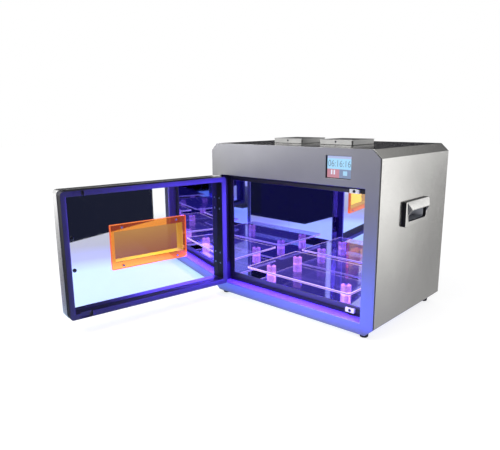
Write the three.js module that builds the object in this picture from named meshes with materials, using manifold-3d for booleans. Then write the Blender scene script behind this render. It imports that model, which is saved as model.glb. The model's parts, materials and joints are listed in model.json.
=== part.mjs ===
// Desktop light-curing chamber: a steel cabinet with a mirrored chamber, a hinged door with an
// orange window that stands open, a touch screen, two fans under top vent covers and side handles.
// Millimetres, +Z up, +X right along the front, +Y to the back.
// The origin is the centre of the base's underside. The door is modelled shut and turned open.

import * as THREE from 'three';
import { mergeVertices } from 'three/addons/utils/BufferGeometryUtils.js';
import { ConvexGeometry } from 'three/addons/geometries/ConvexGeometry.js';
import Module from 'manifold-3d';

const wasm = await Module();
wasm.setup();

// ---------------------------------------------------------------- driving dimensions

const bodyWidth = 468;
const bodyDepth = 320;
const bodyHeight = 380;
const chamferWide = 18;
const chamferHigh = 17;

const clearance = 0.3;
const sheet = 1.2;
const roundSides = 28;
const curveSegments = 4;

// front
const fasciaThick = 3;
const gasketThick = 1.8;
const gasketInset = 2;
const gasketWidth = 6;
const frameSide = 30.5;
const frameBottom = 24.5;
const frameTop = 76.5;
const recessDepth = 30;
const recessWall = 2;
const stopThick = 2;
const stopSideLip = 13.5;
const stopBottomLip = 21.5;
const stopTopLip = 15.5;
const sealWidth = 5;
const sealThick = 1.9;
const sealInset = 3.5;

// screen
const screenFromSide = 94;
const screenAboveOpening = 15;
const screenWidth = 60;
const screenHeight = 46.5;
const screenBorder = 4;
const screenGlassThick = 2;
const screenBoardOverhang = 6;
const screenPlugWidth = 24;
const screenPlugHeight = 12;
const screenPlugLift = 8;
const screenPlugDeep = 6;
const boardThick = 1.6;

// chamber
const chamberFloorLift = 16.5;
const chamberCeilingDrop = 2.5;
const rearSpace = 63;
const mirrorThick = 3;
const ledPanelThick = 5;
const ledPanelWidth = 120;
const ledPanelDepth = 130;

// shelf
const shelfSideGap = 37;
const shelfFrontGap = 7;
const shelfBackGap = 12;
const shelfLift = 25;
const shelfThick = 5;
const shelfCorner = 6;
const postRadius = 12;
const postFromSide = 40;
const postFromFront = 51;
const postFromBack = 45;

// fans, vent covers and heat sinks
const ventSpacing = 136.5;
const ventCentreY = 144;
const fanSize = 80;
const fanDepth = 25;
const fanBladeRadius = 36;
const fanHubRadius = 16;
const fanBlades = 7;
const fanHoleRadius = 38;
const fanCorner = 4;
const fanRotorGap = 2;
const spokeHigh = 3;
const spokeHalf = 3;
const bladeChord = 17;
const bladeThick = 1.4;
const bladePitch = 0.6;
const ventWidth = 88;
const ventDepth = 94;
const ventHeight = 10.9;
const ventSlot = 3;
const ventLeg = 0.7;
const ventLegRadius = 4;
const ventLegInset = 14;
const sinkHeight = 34;
const sinkFins = 9;
const sinkFinThick = 2;
const sinkBase = 5;

// side handles
const handleFrontY = 103;
const handleLength = 112;
const handleBottomZ = 215;
const handleHeight = 53;
const handleCorner = 3;
const handleProud = 7.5;
const hoodProud = 7;
const hoodFrontY = 117.5;
const hoodLength = 83;
const hoodLipZ = 250;
const hoodLipThick = 3;
const hoodRootDrop = 12;
const hoodRootReach = 6;
const pocketFrontY = 115;
const pocketLength = 85;
const pocketBottomZ = 225;
const pocketCorner = 6;
const pocketDepth = 24;
const pocketWall = 2;
const pocketFlange = 4;

// feet
const footRadius = 9.5;
const footHeight = 9;
const footRound = 1.5;
const footTaper = 0.5;
const footFromSide = 28.5;
const footFromEnd = 17;
const panFromFeet = 1.5;
const panLip = 12;

// rear
const rearInset = 2;
const rearSlots = 9;
const rearSlotWidth = 4;
const rearSlotPitch = 9;
const rearSlotHeight = 70;
const rearSlotBottom = 120;
const rearSlotGroupsX = [-120, 0, 120];
const supplyLeft = -150;
const supplyWidth = 199;
const supplyHeight = 98;
const supplyDeep = 38;
const supplyBottom = 40;
const supplySlotPitch = 12;
const terminalWidth = 13;
const terminalInset = 6;
const controllerFromSide = 116;
const controllerFromStop = 18;
const controllerWidth = 80;
const controllerDepth = 110;
const controllerStandoff = 8;
const controllerHole = 5;
const standoffRadius = 2.5;
// each part on the board: across, back, width, depth, height
const controllerParts = [
  [12, 8, 22, 16, 14], [38, 10, 14, 14, 3], [60, 12, 12, 34, 12], [12, 68, 30, 30, 18], [48, 74, 24, 8, 10],
];
const inletFromSide = 64;
const inletZ = 45;
const inletWidth = 50;
const inletHeight = 60;
const inletFlange = 5;
const inletFlangeThick = 2.5;
const inletDeep = 26;
const inletSocketWidth = 24;
const inletSocketHeight = 16;
const socketDeep = 17;
const socketDrop = 14;
const rockerRise = 16;
const rockerSunk = 4;
const rockerWellWidth = 22;
const rockerWellHeight = 15;
const rockerWellDeep = 12;
const rockerTilt = 10;
const rockerSideGap = 1.2;
// each point on the rocker's end: up, then outwards from its pivot
const rockerEnds = [[-5, -3.5], [-1.5, -6], [1.5, -6], [5, -3.5]];
const rockerLipOut = 5.2;
const rockerDipOut = 3.8;
const socketPins = [[-7, -1], [7, -1], [0, 3]];
const socketPinWidth = 2;
const socketPinHeight = 4;
const socketPinSunk = 4;

// door
const doorGap = 2.5;
const hingeGap = 3;
const pivotFromEdge = 0.1;
const openAngle = 98.84;
const doorProud = 25;
const doorSkinDeep = 7;
const doorInnerDepth = 27.5;
const doorCorner = 9;
const doorEdgeRound = 8;
const doorNarrowing = 3;
const doorSheet = 2;
const rimWidth = 13;
const rimStep = 1.2;
const doorRecess = 23;
const windowWidth = 171;
const windowHeight = 69;
const windowPlateWidth = 188;
const windowPlateHeight = 101;
const windowPlateThick = 4;
const windowPlateCorner = 1.5;
const sleeveThick = 1.7;

// hinges
const hingeHeight = 50;
const hingeOffset = 70;
const barrelRadius = 3;
const pinRadius = 1.4;
const pinHead = 1.5;
const leafStart = 3.6;
const leafEnd = 16;

// door handle and catches
const handleFromFreeEdge = 25;
const handleSpacing = 70;
const handleStand = 26;
const handleBar = 9;
const handleOuterRound = 7;
const handleInnerRound = 3;
const catchFromSide = 39;
const catchWidth = 22;
const catchHeight = 9;
const catchProud = 6;
const catchFromEdge = 6.5;
const strikeThick = 1;
const strikeRoom = 0.4;
const strikeBorder = 0.8;
const strikePocketGap = 1.5;
const magnetRadius = 3;

// ---------------------------------------------------------------- helpers

const frontY = -bodyDepth / 2;
const backY = bodyDepth / 2;

function material(color, roughness, metalness, opacity = 1) {
  return new THREE.MeshStandardMaterial({
    color, roughness, metalness, opacity, transparent: opacity < 1,
  });
}

const finish = {
  silver: material(0xb9b8b4, 0.35, 0.9),
  gunmetal: material(0x6f7076, 0.45, 0.7),
  blackMetal: material(0x17171c, 0.5, 0.4),
  blackPlastic: material(0x141416, 0.6, 0),
  rubber: material(0x0d0d0e, 0.9, 0),
  mirror: material(0xe8ebf2, 0.03, 1),
  steel: material(0xc9cacc, 0.3, 1),
  whitePlastic: material(0xf2f2f0, 0.4, 0),
  board: material(0x1c5a34, 0.5, 0.1),
  clear: material(0xe8f2ff, 0.05, 0, 0.35),
  orange: material(0xff8a1c, 0.08, 0, 0.6),
  screen: material(0x9fd4ff, 0.1, 0),
  foam: material(0x2c2c30, 0.9, 0),
};

function solid(geometry) {
  const plain = geometry.clone();
  for (const name of Object.keys(plain.attributes)) {
    if (name !== 'position') plain.deleteAttribute(name);
  }
  const merged = mergeVertices(plain, 1e-4);
  return new wasm.Manifold(new wasm.Mesh({
    numProp: 3,
    vertProperties: Float32Array.from(merged.attributes.position.array),
    triVerts: Uint32Array.from(merged.index.array),
  }));
}

function mesh(name, shape, look) {
  const result = shape.getMesh();
  const geometry = new THREE.BufferGeometry();
  geometry.setAttribute('position', new THREE.BufferAttribute(result.vertProperties, 3));
  geometry.setIndex(new THREE.BufferAttribute(result.triVerts, 1));
  geometry.computeVertexNormals();
  const piece = new THREE.Mesh(geometry, look);
  piece.name = name;
  return piece;
}

function box(x0, x1, y0, y1, z0, z1) {
  const geometry = new THREE.BoxGeometry(x1 - x0, y1 - y0, z1 - z0);
  geometry.translate((x0 + x1) / 2, (y0 + y1) / 2, (z0 + z1) / 2);
  return solid(geometry);
}

function rod(axis, radius, from, to, a, b, sides = roundSides) {
  const geometry = new THREE.CylinderGeometry(radius, radius, to - from, sides);
  const middle = (from + to) / 2;
  if (axis === 'y') {
    geometry.translate(a, middle, b);
  } else {
    geometry.rotateX(Math.PI / 2);
    geometry.translate(a, b, middle);
  }
  return solid(geometry);
}

function polygon(points) {
  return new THREE.Shape(points.map(([u, v]) => new THREE.Vector2(u, v)));
}

function roundedRectangle(u0, u1, v0, v1, radius) {
  const shape = new THREE.Shape();
  shape.moveTo(u0 + radius, v0);
  shape.absarc(u1 - radius, v0 + radius, radius, -Math.PI / 2, 0, false);
  shape.absarc(u1 - radius, v1 - radius, radius, 0, Math.PI / 2, false);
  shape.absarc(u0 + radius, v1 - radius, radius, Math.PI / 2, Math.PI, false);
  shape.absarc(u0 + radius, v0 + radius, radius, Math.PI, Math.PI * 1.5, false);
  return shape;
}

// A shape drawn in X and Z, extruded along Y.
function alongY(shape, y0, y1) {
  const geometry = new THREE.ExtrudeGeometry(shape, {
    depth: y1 - y0, bevelEnabled: false, curveSegments,
  });
  geometry.rotateX(Math.PI / 2);
  geometry.translate(0, y1, 0);
  return solid(geometry);
}

// A shape drawn in Y and Z, extruded along X.
function alongX(shape, x0, x1) {
  const geometry = new THREE.ExtrudeGeometry(shape, {
    depth: x1 - x0, bevelEnabled: false, curveSegments,
  });
  geometry.rotateX(Math.PI / 2);
  geometry.rotateZ(Math.PI / 2);
  geometry.translate(x0, 0, 0);
  return solid(geometry);
}

// A shape drawn in X and Y, extruded along Z.
function alongZ(shape, z0, z1) {
  const geometry = new THREE.ExtrudeGeometry(shape, {
    depth: z1 - z0, bevelEnabled: false, curveSegments,
  });
  geometry.translate(0, 0, z0);
  return solid(geometry);
}

function ring(x0, x1, z0, z1, width, y0, y1) {
  const outer = box(x0, x1, y0, y1, z0, z1);
  const inner = box(x0 + width, x1 - width, y0 - 1, y1 + 1, z0 + width, z1 - width);
  return outer.subtract(inner);
}

// The chamfered outline of the cabinet's cross-section, moved in by inset on every side.
function cabinetOutline(inset) {
  const slope = Math.hypot(chamferWide, chamferHigh);
  const side = bodyWidth / 2 - inset;
  const flatX = bodyWidth / 2 - chamferWide - inset * (slope - chamferWide) / chamferHigh;
  const cutZ = chamferHigh + inset * (slope - chamferHigh) / chamferWide;
  const low = inset;
  const high = bodyHeight - inset;
  return polygon([
    [-flatX, low], [flatX, low], [side, cutZ], [side, bodyHeight - cutZ],
    [flatX, high], [-flatX, high], [-side, bodyHeight - cutZ], [-side, cutZ],
  ]);
}

const fromFront = (depth) => frontY + depth;

const cabinet = new THREE.Group();
const door = new THREE.Group();

// ---------------------------------------------------------------- shared places

const openingHalf = bodyWidth / 2 - frameSide;
const openingBottom = frameBottom;
const openingTop = bodyHeight - frameTop;
const screenCentreX = bodyWidth / 2 - screenFromSide;
const screenBottom = openingTop + screenAboveOpening;
const shellFront = fromFront(fasciaThick + gasketThick + 2 * clearance);
const shellBack = backY;
const stopFront = fromFront(recessDepth);
const stopBack = stopFront + stopThick;
const chamberHalf = openingHalf - stopSideLip;
const chamberFront = stopBack + clearance;
const chamberBack = backY - rearSpace;
const chamberFloorZ = openingBottom + chamberFloorLift;
const chamberCeilingZ = openingTop - chamberCeilingDrop;
const shelfTopZ = chamberFloorZ + shelfLift;
const shelfHalf = chamberHalf - shelfSideGap;
const shelfFront = stopBack + shelfFrontGap;
const shelfBack = chamberBack - shelfBackGap;
const ventCentresX = [-ventSpacing / 2, ventSpacing / 2];
const inletX = bodyWidth / 2 - inletFromSide;
const catchX = openingHalf - catchFromSide;
const linerGap = mirrorThick + 2 * clearance;

const pivotX = -openingHalf + pivotFromEdge;
const pivotY = frontY;
const doorLeft = -openingHalf + hingeGap;
const doorRight = openingHalf - doorGap;
const doorBottom = openingBottom + doorGap;
const doorTop = openingTop - doorGap;
const doorMiddleX = (doorLeft + doorRight) / 2;
const doorMiddleZ = (doorBottom + doorTop) / 2;
const hingeCentres = { upper: doorMiddleZ + hingeOffset, lower: doorMiddleZ - hingeOffset };
const leafThick = (hingeGap - 3 * clearance) / 2;
const ventTopZ = bodyHeight + clearance + ventLeg + ventHeight;

// ---------------------------------------------------------------- cabinet shell

function outerShell() {
  let shell = alongY(cabinetOutline(0), shellFront, shellBack);
  shell = shell.subtract(alongY(cabinetOutline(sheet), shellFront - 1, shellBack + 1));
  const panHalf = basePanHalf() + clearance;
  shell = shell.subtract(box(-panHalf, panHalf, shellFront - 1, shellBack + 1, -1, sheet + 1));
  for (const x of ventCentresX) {
    const hole = rod('z', fanHoleRadius, bodyHeight - 2 * sheet, bodyHeight + 1, x, fromFront(ventCentreY));
    shell = shell.subtract(hole);
  }
  const hole = pocketOutline(pocketWall + clearance);
  shell = shell.subtract(alongX(hole, -bodyWidth, bodyWidth));
  return mesh('outer_shell', shell, finish.silver);
}

// The pan lies between the feet, which are fixed to the shell's turned-in edges.
function basePanHalf() {
  return bodyWidth / 2 - footFromSide - footRadius - panFromFeet;
}

function basePan() {
  const half = basePanHalf();
  const back = backY - rearInset - sheet - clearance;
  const inner = half - sheet;
  const outline = polygon([
    [-half, 0], [half, 0], [half, panLip], [inner, panLip],
    [inner, sheet], [-inner, sheet], [-inner, panLip], [-half, panLip],
  ]);
  return mesh('base_pan', alongY(outline, shellFront, back), finish.silver);
}

function rearPanel() {
  const back = backY - rearInset;
  let panel = alongY(cabinetOutline(sheet + clearance), back - sheet, back);
  for (const groupX of rearSlotGroupsX) {
    for (let i = 0; i < rearSlots; i += 1) {
      const x = groupX + (i - (rearSlots - 1) / 2) * rearSlotPitch - rearSlotWidth / 2;
      panel = panel.subtract(box(x, x + rearSlotWidth, back - 2 * sheet, back + 1,
        rearSlotBottom, rearSlotBottom + rearSlotHeight));
    }
  }
  const halfWide = inletWidth / 2 + clearance;
  const halfHigh = inletHeight / 2 + clearance;
  panel = panel.subtract(box(inletX - halfWide, inletX + halfWide, back - 2 * sheet, back + 1,
    inletZ - halfHigh, inletZ + halfHigh));
  return mesh('rear_panel', panel, finish.silver);
}

function hingeNotch(radius) {
  let notch = null;
  for (const z of Object.values(hingeCentres)) {
    const half = hingeHeight / 2 + pinHead + 2 * clearance;
    const cut = rod('z', radius, z - half, z + half, pivotX, pivotY);
    notch = notch ? notch.add(cut) : cut;
  }
  return notch;
}

function fascia() {
  let plate = alongY(cabinetOutline(0), frontY, frontY + fasciaThick);
  plate = plate.subtract(box(-openingHalf, openingHalf, frontY - 1, frontY + fasciaThick + 1,
    openingBottom, openingTop));
  plate = plate.subtract(box(screenCentreX - screenWidth / 2, screenCentreX + screenWidth / 2,
    frontY - 1, frontY + fasciaThick + 1, screenBottom, screenBottom + screenHeight));
  plate = plate.subtract(hingeNotch(barrelRadius + clearance));
  return mesh('fascia', plate, finish.gunmetal);
}

function fasciaGasket() {
  const front = frontY + fasciaThick + clearance;
  let gasket = alongY(cabinetOutline(gasketInset), front, front + gasketThick);
  const inner = cabinetOutline(gasketInset + gasketWidth);
  gasket = gasket.subtract(alongY(inner, front - 1, front + gasketThick + 1));
  return mesh('fascia_gasket', gasket, finish.rubber);
}

function recessFrame() {
  const front = frontY + fasciaThick + clearance;
  const frame = ring(-openingHalf - recessWall, openingHalf + recessWall,
    openingBottom - recessWall, openingTop + recessWall, recessWall,
    front, stopFront - clearance);
  return mesh('recess_frame', frame.subtract(hingeNotch(barrelRadius + clearance)), finish.gunmetal);
}

function stopFrame() {
  let plate = box(-openingHalf - recessWall, openingHalf + recessWall, stopFront, stopBack,
    openingBottom - recessWall, openingTop + recessWall);
  plate = plate.subtract(box(-chamberHalf, chamberHalf, stopFront - 1, stopBack + 1,
    openingBottom + stopBottomLip, openingTop - stopTopLip));
  return mesh('stop_frame', plate, finish.blackMetal);
}

function doorSeal() {
  const y1 = stopFront - clearance;
  let seal = ring(-openingHalf + sealInset, openingHalf - sealInset, openingBottom + sealInset,
    openingTop - sealInset, sealWidth, y1 - sealThick, y1);
  for (const z of catchCentresZ()) {
    seal = seal.subtract(catchBox(z, clearance, catchProud + recessDepth));
  }
  return seal;
}

// ---------------------------------------------------------------- chamber

function chamberLiner() {
  const side = chamberHalf + linerGap;
  const floor = chamberFloorZ - linerGap;
  const back = chamberBack + linerGap;
  let liner = box(-side - sheet, side + sheet, chamberFront, back + sheet,
    floor - sheet, chamberCeilingZ + sheet);
  liner = liner.subtract(box(-side, side, chamberFront - 1, back, floor, chamberCeilingZ));
  return mesh('chamber_liner', liner, finish.silver);
}

function mirrors() {
  const low = chamberFloorZ;
  const high = chamberCeilingZ - clearance;
  const side = chamberHalf;
  return [
    mesh('chamber_mirror_left',
      box(-side - mirrorThick, -side, chamberFront, chamberBack - clearance, low, high), finish.mirror),
    mesh('chamber_mirror_right',
      box(side, side + mirrorThick, chamberFront, chamberBack - clearance, low, high), finish.mirror),
    mesh('chamber_mirror_back',
      box(-side - mirrorThick, side + mirrorThick, chamberBack, chamberBack + mirrorThick, low, high),
      finish.mirror),
    mesh('chamber_mirror_floor',
      box(-side - mirrorThick, side + mirrorThick, chamberFront, chamberBack + mirrorThick,
        low - clearance - mirrorThick, low - clearance), finish.mirror),
  ];
}

function ledPanel(name, x) {
  const y = (chamberFront + chamberBack) / 2;
  const top = chamberCeilingZ - clearance;
  return mesh(name, box(x - ledPanelWidth / 2, x + ledPanelWidth / 2, y - ledPanelDepth / 2,
    y + ledPanelDepth / 2, top - ledPanelThick, top), finish.whitePlastic);
}

function shelf() {
  const outline = roundedRectangle(-shelfHalf, shelfHalf, shelfFront, shelfBack, shelfCorner);
  return mesh('shelf_plate', alongZ(outline, shelfTopZ - shelfThick, shelfTopZ), finish.clear);
}

function shelfPosts() {
  const posts = [];
  for (const [row, y] of [['front', shelfFront + postFromFront], ['back', shelfBack - postFromBack]]) {
    for (const [side, sign] of [['left', -1], ['right', 1]]) {
      const x = sign * (shelfHalf - postFromSide);
      const post = rod('z', postRadius, chamberFloorZ, shelfTopZ - shelfThick - clearance, x, y);
      posts.push(mesh(`shelf_post_${row}_${side}`, post, finish.clear));
    }
  }
  return posts;
}

// ---------------------------------------------------------------- cooling

function heatSink(name, x) {
  const y = fromFront(ventCentreY);
  const half = fanSize / 2;
  const z0 = chamberCeilingZ + sheet + clearance;
  let sink = box(x - half, x + half, y - half, y + half, z0, z0 + sinkBase);
  const pitch = (fanSize - sinkFinThick) / (sinkFins - 1);
  for (let i = 0; i < sinkFins; i += 1) {
    const left = x - half + i * pitch;
    sink = sink.add(box(left, left + sinkFinThick, y - half, y + half, z0, z0 + sinkHeight));
  }
  return mesh(name, sink, finish.steel);
}

function fanFrame(name, x) {
  const y = fromFront(ventCentreY);
  const half = fanSize / 2;
  const top = bodyHeight - sheet - clearance;
  const outline = roundedRectangle(x - half, x + half, y - half, y + half, fanCorner);
  let frame = alongZ(outline, top - fanDepth, top);
  frame = frame.subtract(rod('z', fanHoleRadius, top - fanDepth - 1, top + 1, x, y));
  for (const [wide, deep] of [[half - 1, spokeHalf], [spokeHalf, half - 1]]) {
    frame = frame.add(box(x - wide, x + wide, y - deep, y + deep,
      top - fanDepth, top - fanDepth + spokeHigh));
  }
  return mesh(name, frame, finish.blackPlastic);
}

function fanRotor(name, x) {
  const y = fromFront(ventCentreY);
  const frameTopZ = bodyHeight - sheet - clearance;
  const top = frameTopZ - fanRotorGap;
  const bottom = frameTopZ - fanDepth + spokeHigh + 1;
  const middle = (top + bottom) / 2;
  let rotor = rod('z', fanHubRadius, bottom, top, x, y);
  for (let i = 0; i < fanBlades; i += 1) {
    const blade = new THREE.BoxGeometry(fanBladeRadius - fanHubRadius + 3, bladeChord, bladeThick);
    blade.rotateX(bladePitch);
    blade.translate((fanBladeRadius + fanHubRadius - 3) / 2, 0, 0);
    blade.rotateZ(i * 2 * Math.PI / fanBlades);
    blade.translate(x, y, middle);
    rotor = rotor.add(solid(blade));
  }
  return mesh(name, rotor, finish.blackPlastic);
}

function ventCover(name, x) {
  const y = fromFront(ventCentreY);
  const z0 = bodyHeight + clearance + ventLeg;
  const halfX = ventWidth / 2;
  const halfY = ventDepth / 2;
  let cover = box(x - halfX, x + halfX, y - halfY, y + halfY, z0, ventTopZ);
  cover = cover.subtract(box(x - halfX + sheet, x + halfX - sheet, y - halfY + sheet,
    y + halfY - sheet, z0 - 1, ventTopZ - sheet));
  for (const sx of [-1, 1]) {
    for (const sy of [-1, 1]) {
      const cornerX = x + sx * halfX;
      const cornerY = y + sy * halfY;
      cover = cover.subtract(box(cornerX - ventSlot, cornerX + ventSlot, cornerY - ventSlot,
        cornerY + ventSlot, z0 - 1, ventTopZ - sheet));
      const legX = x + sx * (halfX - ventLegInset);
      const legY = y + sy * (halfY - ventLegInset);
      cover = cover.add(rod('z', ventLegRadius, z0 - ventLeg, ventTopZ - sheet / 2, legX, legY, 16));
    }
  }
  return mesh(name, cover, finish.silver);
}

// ---------------------------------------------------------------- side handles

const handleBackY = handleFrontY + handleLength;
const handleTopZ = handleBottomZ + handleHeight;

function pocketOutline(grow) {
  const y0 = fromFront(pocketFrontY) - grow;
  const y1 = fromFront(pocketFrontY + pocketLength) + grow;
  return roundedRectangle(y0, y1, pocketBottomZ - grow, hoodLipZ + grow, pocketCorner + grow);
}

// Built on the right side, with s counted outwards from the cabinet's side.
function handleBezelShape() {
  const s0 = bodyWidth / 2 + clearance;
  const s1 = bodyWidth / 2 + handleProud;
  const s2 = s1 + hoodProud;
  const y0 = fromFront(handleFrontY);
  const y1 = fromFront(handleBackY);
  const plate = roundedRectangle(y0, y1, handleBottomZ, handleTopZ, handleCorner);
  let bezel = alongX(plate, s0, s1);
  const lipFront = fromFront(hoodFrontY);
  const lipBack = fromFront(hoodFrontY + hoodLength);
  const rootFront = fromFront(pocketFrontY) - hoodRootReach;
  const rootBack = fromFront(pocketFrontY + pocketLength) + hoodRootReach;
  const rootZ = hoodLipZ - hoodRootDrop;
  const hoodPoints = [];
  for (const x of [s1 - 1, s1]) {
    hoodPoints.push([x, y0 + handleCorner, handleTopZ], [x, y1 - handleCorner, handleTopZ]);
    hoodPoints.push([x, rootFront, rootZ], [x, rootBack, rootZ]);
  }
  for (const z of [hoodLipZ, hoodLipZ + hoodLipThick]) {
    hoodPoints.push([s2, lipFront, z], [s2, lipBack, z]);
  }
  const corners = hoodPoints.map(([x, y, z]) => new THREE.Vector3(x, y, z));
  bezel = bezel.add(solid(new ConvexGeometry(corners)));
  bezel = bezel.subtract(alongX(pocketOutline(0), s0 - 1, s2 + 1));
  return bezel;
}

function handleBezel(name, mirrored) {
  let bezel = handleBezelShape();
  if (mirrored) bezel = bezel.mirror([1, 0, 0]);
  return mesh(name, bezel, finish.silver);
}

function handlePocket(name, mirrored) {
  const outerX = bodyWidth / 2 - sheet - clearance;
  const innerX = bodyWidth / 2 - pocketDepth;
  let pocket = alongX(pocketOutline(pocketWall), innerX, bodyWidth / 2);
  pocket = pocket.add(alongX(pocketOutline(pocketWall + pocketFlange), outerX - 2, outerX));
  pocket = pocket.subtract(alongX(pocketOutline(0), innerX + pocketWall, bodyWidth / 2 + 1));
  if (mirrored) pocket = pocket.mirror([1, 0, 0]);
  return mesh(name, pocket, finish.blackPlastic);
}

// ---------------------------------------------------------------- electrics

function displayGlass() {
  const y0 = frontY + fasciaThick + clearance;
  const half = screenWidth / 2 + screenBorder;
  return mesh('display_glass', box(screenCentreX - half, screenCentreX + half, y0,
    y0 + screenGlassThick, screenBottom - screenBorder, screenBottom + screenHeight + screenBorder),
  finish.screen);
}

function displayBoard() {
  const y0 = frontY + fasciaThick + 2 * clearance + screenGlassThick;
  const half = screenWidth / 2 + screenBorder + screenBoardOverhang;
  let board = box(screenCentreX - half, screenCentreX + half, y0, y0 + boardThick,
    screenBottom - screenBorder, screenBottom + screenHeight + screenBorder);
  const plugBottom = screenBottom + screenPlugLift;
  board = board.add(box(screenCentreX - screenPlugWidth / 2, screenCentreX + screenPlugWidth / 2,
    y0 + boardThick / 2, y0 + boardThick + screenPlugDeep, plugBottom, plugBottom + screenPlugHeight));
  return mesh('display_board', board, finish.board);
}

function controllerBoard() {
  const x0 = bodyWidth / 2 - controllerFromSide;
  const y0 = stopBack + controllerFromStop;
  const linerTop = chamberCeilingZ + sheet;
  const z0 = linerTop + controllerStandoff;
  let board = box(x0, x0 + controllerWidth, y0, y0 + controllerDepth, z0, z0 + boardThick);
  for (const [dx, dy, wide, deep, high] of controllerParts) {
    board = board.add(box(x0 + dx, x0 + dx + wide, y0 + dy, y0 + dy + deep,
      z0 + boardThick / 2, z0 + boardThick + high));
  }
  for (const dx of [controllerHole, controllerWidth - controllerHole]) {
    for (const dy of [controllerHole, controllerDepth - controllerHole]) {
      board = board.add(rod('z', standoffRadius, linerTop + clearance, z0 + boardThick / 2,
        x0 + dx, y0 + dy, 12));
    }
  }
  return mesh('controller_board', board, finish.board);
}

function powerSupply() {
  const y0 = chamberBack + linerGap + sheet + clearance;
  const y1 = y0 + supplyDeep;
  const x1 = supplyLeft + supplyWidth;
  const top = supplyBottom + supplyHeight;
  let supply = box(supplyLeft, x1, y0, y1, supplyBottom, top);
  supply = supply.subtract(box(supplyLeft + sheet, x1 - sheet, y0 + sheet, y1 - sheet,
    supplyBottom + sheet, top - sheet));
  for (let x = supplyLeft + supplySlotPitch; x < x1 - supplySlotPitch; x += supplySlotPitch) {
    supply = supply.subtract(box(x, x + rearSlotWidth, y0 + terminalInset, y1 - terminalInset,
      top - 2 * sheet, top + 1));
  }
  supply = supply.add(box(x1 - 1, x1 + terminalWidth, y0 + terminalInset, y1 - terminalInset,
    supplyBottom + terminalInset, top - terminalInset));
  return mesh('power_supply', supply, finish.steel);
}

function rockerPlace() {
  return { y: backY - rearInset + inletFlangeThick - rockerSunk, z: inletZ + rockerRise };
}

function powerInlet() {
  const panelBack = backY - rearInset;
  const y0 = panelBack - inletDeep;
  const y1 = panelBack + clearance + inletFlangeThick;
  const halfWide = inletWidth / 2;
  const halfHigh = inletHeight / 2;
  let inlet = box(inletX - halfWide, inletX + halfWide, y0, y1, inletZ - halfHigh, inletZ + halfHigh);
  inlet = inlet.add(box(inletX - halfWide - inletFlange, inletX + halfWide + inletFlange,
    panelBack + clearance, y1, inletZ - halfHigh - inletFlange, inletZ + halfHigh + inletFlange));
  const socketZ = inletZ - socketDrop;
  inlet = inlet.subtract(box(inletX - inletSocketWidth / 2, inletX + inletSocketWidth / 2,
    y1 - socketDeep, y1 + 1, socketZ - inletSocketHeight / 2, socketZ + inletSocketHeight / 2));
  for (const [dx, dz] of socketPins) {
    const pinX = inletX + dx - socketPinWidth / 2;
    const pinZ = socketZ + dz - socketPinHeight / 2;
    inlet = inlet.add(box(pinX, pinX + socketPinWidth, y1 - socketDeep - 1, y1 - socketPinSunk,
      pinZ, pinZ + socketPinHeight));
  }
  const place = rockerPlace();
  inlet = inlet.subtract(box(inletX - rockerWellWidth / 2, inletX + rockerWellWidth / 2,
    place.y - rockerWellDeep + rockerSunk, y1 + 1,
    place.z - rockerWellHeight / 2, place.z + rockerWellHeight / 2));
  return mesh('power_inlet', inlet, finish.blackPlastic);
}

// The rocker is drawn level about its pivot and rests tipped to its "on" side.
function powerRocker() {
  const place = rockerPlace();
  const half = rockerWellHeight / 2 - rockerSideGap;
  const outline = polygon([
    ...rockerEnds, [half, rockerLipOut], [0, rockerDipOut], [-half, rockerLipOut],
  ].map(([z, y]) => [y, z]).reverse());
  const wide = rockerWellWidth / 2 - clearance;
  const rocker = mesh('power_switch_rocker', alongX(outline, -wide, wide), finish.blackPlastic);
  rocker.rotation.x = THREE.MathUtils.degToRad(rockerTilt);
  rocker.position.set(inletX, place.y, place.z);
  return rocker;
}

// ---------------------------------------------------------------- feet and catches

function feet() {
  const result = [];
  const footX = bodyWidth / 2 - footFromSide;
  for (const [row, y] of [['front', frontY + footFromEnd], ['back', backY - footFromEnd]]) {
    for (const [side, sign] of [['left', -1], ['right', 1]]) {
      const profile = [
        [0, -footHeight], [footRadius - footTaper - footRound, -footHeight],
        [footRadius - footTaper, -footHeight + footRound], [footRadius, -clearance], [0, -clearance],
      ].map(([r, z]) => new THREE.Vector2(r, z));
      const geometry = new THREE.LatheGeometry(profile, 24);
      geometry.rotateX(Math.PI / 2);
      geometry.translate(sign * footX, y, 0);
      result.push(mesh(`foot_${row}_${side}`, solid(geometry), finish.rubber));
    }
  }
  return result;
}

function catchCentresZ() {
  return [openingBottom + catchFromEdge + catchHeight / 2, openingTop - catchFromEdge - catchHeight / 2];
}

function catchBox(z, grow, deep) {
  return box(catchX - catchWidth / 2 - grow, catchX + catchWidth / 2 + grow,
    stopFront - deep, stopFront, z - catchHeight / 2 - grow, z + catchHeight / 2 + grow);
}

function magnetCatch(name, z) {
  const y1 = stopFront - clearance;
  let block = box(catchX - catchWidth / 2, catchX + catchWidth / 2, y1 - catchProud, y1,
    z - catchHeight / 2, z + catchHeight / 2);
  block = block.subtract(rod('y', magnetRadius, y1 - catchProud - 1, y1 - catchProud + 1, catchX, z, 20));
  return mesh(name, block, finish.whitePlastic);
}

// ---------------------------------------------------------------- hinges

const knuckleLength = hingeHeight / 3;

function hingeBarrel(z, from, to) {
  const bore = rod('z', pinRadius + clearance, z + from - 1, z + to + 1, pivotX, pivotY, 20);
  return rod('z', barrelRadius, z + from, z + to, pivotX, pivotY, 20).subtract(bore);
}

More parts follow.
